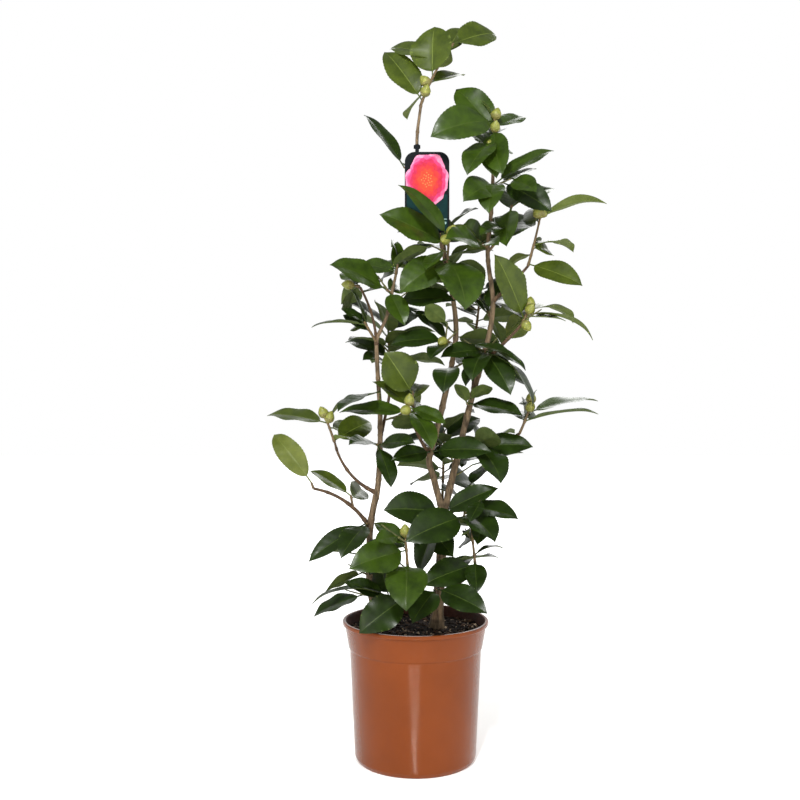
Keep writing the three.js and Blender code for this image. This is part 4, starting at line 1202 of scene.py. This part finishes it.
mix = Pile()
add_tube(mix, mix_rings())
random = seeded(CHIP_SEED)
for _ in range(CHIPS):
    distance = (mix_radius - CHIP_MARGIN) * sqrt(random())
    heading = 360 * random()
    place = direction(heading, 0) * distance
    kind = random()
    size = CHIP_SIZE[0] + CHIP_SIZE[1] * random() ** 2
    stretch = np.array([size * above(CHIP_LONG, random), size, size * above(CHIP_FLAT, random)])
    if kind > BARK_CHIPS:
        stretch = np.array([size, size, size]) * GRIT_SIZE
    bumps = np.array([above(CHIP_BUMPS, random) for _ in LUMP])
    place[2] = mix_height(place[0], place[1]) + stretch[2] * CHIP_SUNK
    mix.add(place + (LUMP * bumps[:, None] * stretch) @ turned(random), LUMP_FACES,
            1 if kind < DARK_CHIPS else 2 if kind < BARK_CHIPS else 3)
mix.build("mix_top", [
    finish("mix_peat", (13, 9, 7), (30, 21, 15), 320, (0.9, 1.0), 0.8, depth=0.001, specular=0.1),
    *finishes([("mix_dark_chip", (21, 15, 11), (40, 28, 21)), ("mix_bark_chip", (46, 31, 22), (76, 54, 37))],
              grain=300, rough=(0.8, 0.95), bump=0.6, specular=0.15),
    finish("mix_grit", (118, 100, 82), (172, 154, 132), 300, (0.8, 0.95), 0.5, specular=0.2)],
    ["potting_mix"], smooth=False)

# The label: a dark card with a printed rosette, a teal panel, a rule and a dot, which hangs from a
# ring round the stem. Each print stands a hair proud of the one under it.
CORNER_STEPS = 8
PRINT = 0.06
NECK_LAP = 1
PANEL_TOP = 50
PANEL_EDGE = 2.5
RULE_HEIGHT = 17
RULE_LEFT = 4
RULE_RIGHT = 26
RULE_THICK = 1
DOT_SIDE = 23.5
DOT_DROP = 4.5
DOT_RADIUS = 1.7
DOT_CORNERS = 16
BLOOM_WIDE = 29
BLOOM_TALL = 37
BLOOM_DROP = 37
BLOOM_SEED = 61
# Rings of petals from the outside in: how many, the shares of the bloom where they start and end,
# their half-width, and the name and two colours of their material.
PETALS = [
    (6, 0.2, 1.0, 0.52, "petal_blush", (192, 100, 134), (210, 134, 162)),
    (7, 0.22, 0.93, 0.42, "petal_pale", (182, 62, 108), (198, 90, 132)),
    (6, 0.16, 0.86, 0.42, "petal_pink", (168, 32, 80), (186, 52, 102)),
    (7, 0.14, 0.77, 0.34, "petal_rose", (154, 14, 54), (172, 30, 72)),
    (6, 0.1, 0.67, 0.32, "petal_red", (160, 18, 42), (178, 36, 54)),
    (7, 0.06, 0.56, 0.25, "petal_coral", (168, 30, 32), (184, 46, 40)),
    (6, -0.03, 0.43, 0.2, "petal_orange", (174, 44, 24), (190, 60, 32))]
PETAL_STEPS = 28
PETAL_FOOT = 0.8
PETAL_FRILLS = 5
FRILL = 0.035
PETAL_JITTER = 0.07
PETAL_STAGGER = 0.8
STAMENS = 20
STAMEN_REACH = 0.26
STAMEN_RADIUS = 0.75
STAMEN_CORNERS = 8
RING_WALL = 1.4
RING_CORNERS = 24
CARD, PANEL, FIRST_PETAL = 0, 1, 2
GOLD = FIRST_PETAL + len(PETALS)
RULE_INK = GOLD + 1
face_y = CARD_Y - CARD_THICK
half_card = CARD_WIDTH / 2
label = Pile()


def add_plate(points, front, back, material):
    """A flat plate of the label facing -Y between two depths, from points in X and Z round its edge."""
    rings = np.array([[(x, y, z) for x, z in points] for y in (back, front)], float)
    label.add(rings, ring_faces(rings), material)


def add_print(points, layer, material):
    add_plate(points, face_y - PRINT * layer, face_y, material)


def card_outline():
    points = [
        (CARD_X - half_card + CARD_CHAMFER, CARD_BOTTOM), (CARD_X + half_card - CARD_CHAMFER, CARD_BOTTOM),
        (CARD_X + half_card, CARD_BOTTOM + CARD_CHAMFER)]
    for side, start in ((1, 0), (-1, 90)):
        for k in range(CORNER_STEPS + 1):
            turn = radians(start + 90 * k / CORNER_STEPS)
            points.append((
                CARD_X + side * (half_card - CARD_CORNER) + CARD_CORNER * cos(turn),
                CARD_TOP - CARD_CORNER + CARD_CORNER * sin(turn)))
    return points + [(CARD_X - half_card, CARD_BOTTOM + CARD_CHAMFER)]


def rectangle(left, right, low, high):
    return [(left, low), (right, low), (right, high), (left, high)]


def disc(x, z, radius, corners):
    return [(x + radius * cos(turn), z + radius * sin(turn)) for turn in corner_turns(corners)]


def in_bloom(x, z):
    """A place on the card from shares of the bloom's half-width and half-height."""
    return CARD_X + BLOOM_WIDE * x, CARD_TOP - BLOOM_DROP + BLOOM_TALL * z


def petal_outline(turn, start, end, wide, phase):
    """A frilled petal that points out from the middle of the bloom."""
    points = []
    for sweep in corner_turns(PETAL_STEPS):
        out = (start + end) / 2 + (end - start) / 2 * cos(sweep)
        out += FRILL * sin(PETAL_FRILLS * sweep + phase) * max(cos(sweep), 0)
        over = wide * sin(sweep)
        over *= PETAL_FOOT + (1 - PETAL_FOOT) * (out - start) / (end - start)
        points.append(in_bloom(out * cos(turn) - over * sin(turn),
                               out * sin(turn) + over * cos(turn)))
    return points


add_plate(card_outline(), face_y, CARD_Y, CARD)
add_print(rectangle(CARD_X - half_card + PANEL_EDGE, CARD_X + half_card - PANEL_EDGE,
                    CARD_BOTTOM + PANEL_EDGE, CARD_BOTTOM + PANEL_TOP), 1, PANEL)
rule_z = CARD_BOTTOM + RULE_HEIGHT
add_print(rectangle(CARD_X - RULE_LEFT, CARD_X + RULE_RIGHT, rule_z, rule_z + RULE_THICK), 2, RULE_INK)
add_print(disc(CARD_X + DOT_SIDE, rule_z - DOT_DROP, DOT_RADIUS, DOT_CORNERS), 2, RULE_INK)
random = seeded(BLOOM_SEED)
for ring, (count, start, end, wide, *_) in enumerate(PETALS):
    for k in range(count):
        turn = 2 * pi * (k + 0.5 * (ring % 2) + around((0, PETAL_JITTER), random)) / count
        reach = end * (1 - PETAL_JITTER * random())
        points = petal_outline(turn, start, reach, wide, 2 * pi * random())
        add_print(points, ring + 2 + PETAL_STAGGER * k / count, FIRST_PETAL + ring)
for k in range(STAMENS):
    way = direction(GOLDEN * k, 0) * STAMEN_REACH * sqrt((k + 1) / STAMENS)
    add_print(disc(*in_bloom(way[0], way[1]), STAMEN_RADIUS, STAMEN_CORNERS), len(PETALS) + 3, GOLD)

# Its neck, the bridge to the stem and the ring round it.
stem_x, stem_y, stem_z = spot("stem_middle", CARD_TOP + RING_ABOVE)
ring_top = stem_z + RING_HEIGHT / 2
ring_foot = ring_top - RING_HEIGHT
half_neck = NECK_WIDTH / 2
add_plate(rectangle(stem_x - half_neck, stem_x + half_neck, CARD_TOP - NECK_LAP, ring_top),
          face_y + PRINT, CARD_Y - PRINT, CARD)
add_plate(rectangle(stem_x - half_neck / 2, stem_x + half_neck / 2, ring_foot, ring_top),
          face_y, stem_y - RING_RADIUS + RING_WALL, CARD)
inside = RING_RADIUS - RING_WALL
band = [(inside, 0), (RING_RADIUS, 0), (RING_RADIUS, RING_HEIGHT), (inside, RING_HEIGHT), (inside, 0)]
label.add(round_rings(band, RING_CORNERS) + np.array([stem_x, stem_y, ring_foot]),
          grid_faces(len(band), RING_CORNERS, closed=True), CARD)
label.build("plant_label", [
    *finishes([("card_dark", (4, 8, 12), (8, 15, 19)), ("card_teal", (1, 30, 32), (4, 42, 42))],
              grain=120, rough=(0.5, 0.65), specular=0.08),
    *finishes([row[4:] for row in PETALS], grain=160, rough=(0.45, 0.6), specular=0.2),
    finish("stamen_gold", (200, 98, 30), (212, 120, 46), 300, (0.4, 0.55)),
    finish("rule_ink", (104, 138, 134), (128, 160, 154), 200, (0.4, 0.55))],
    ["label"], smooth=False)

# The floor, which glows more the further it is from the pot, so that it runs into the surround.
FLOOR_HALF = 6000
FLOOR_GLOW = dict(taken=(0.4, 2.0), given=(0.3, 1.0))
WHITE = (1, 1, 1, 1)
mesh = new_mesh("floor", [(x * FLOOR_HALF, y * FLOOR_HALF, 0) for x, y in
                          ((-1, -1), (1, -1), (1, 1), (-1, 1))], [(0, 1, 2, 3)])
floor_paper = finish("floor_paper", (238, 238, 236), (244, 244, 242), 3, (0.8, 0.9), 0.02)
tree = floor_paper.node_tree
shader = fill(tree.nodes["Principled BSDF"], **{"Emission Color": WHITE})
place = new_node(tree, "ShaderNodeTexCoord")
away = new_node(tree, "ShaderNodeVectorMath")
away.operation = "LENGTH"
glow = new_range(tree, **FLOOR_GLOW)
wire(tree, (place, "Object", away, 0), (away, "Value", glow, "Value"),
     (glow, "Result", shader, "Emission Strength"))
mesh.materials.append(floor_paper)
floor = new_object("floor", mesh)


def area_light(name, place, target, size, power, colour=(1, 1, 1)):
    lamp = bpy.data.lights.new(name, "AREA")
    lamp.shape = "DISK"
    lamp.size = size
    lamp.energy = power
    lamp.color = colour
    made = new_object(name, lamp)
    made.location = place
    made.rotation_mode = "QUATERNION"
    made.rotation_quaternion = (Vector(target) - Vector(place)).to_track_quat("-Z", "Y")


area_light("key", (-0.36, -1.95, 2.1), (0.02, 0, 0.45), 0.3, 62)
area_light("streak", (-0.11, -2.4, 0.2), (0, 0, 0.1), 0.05, 18, (1, 0.84, 0.7))
area_light("fill", (1.6, -2.0, 1.0), (0.02, 0, 0.48), 1.4, 9)
area_light("rear", (0.4, 2.2, 1.9), (0.02, 0, 0.5), 1.4, 24)

# The surround is bright where it meets the floor and dims overhead, like a lit paper sweep.
SURROUND = dict(taken=(0.42, 0.75), given=(1.0, 0.35))
world = bpy.data.worlds.new("studio")
world.use_nodes = True
tree = world.node_tree
background = fill(tree.nodes["Background"], Color=WHITE)
place = new_node(tree, "ShaderNodeTexCoord")
split = new_node(tree, "ShaderNodeSeparateXYZ")
height = new_range(tree, **SURROUND)
wire(tree, (place, "Generated", split, "Vector"), (split, "Z", height, "Value"),
     (height, "Result", background, "Strength"))
bpy.context.scene.world = world
bpy.context.scene.view_settings.view_transform = "Standard"

camera_data = bpy.data.cameras.new("camera")
camera_data.lens = 45.1
camera_data.shift_y = -0.01125
camera = new_object("camera", camera_data)
camera.location = (-0.0202, -1.31, 0.478)
camera.rotation_euler = (pi / 2, 0, 0)
bpy.context.scene.camera = camera
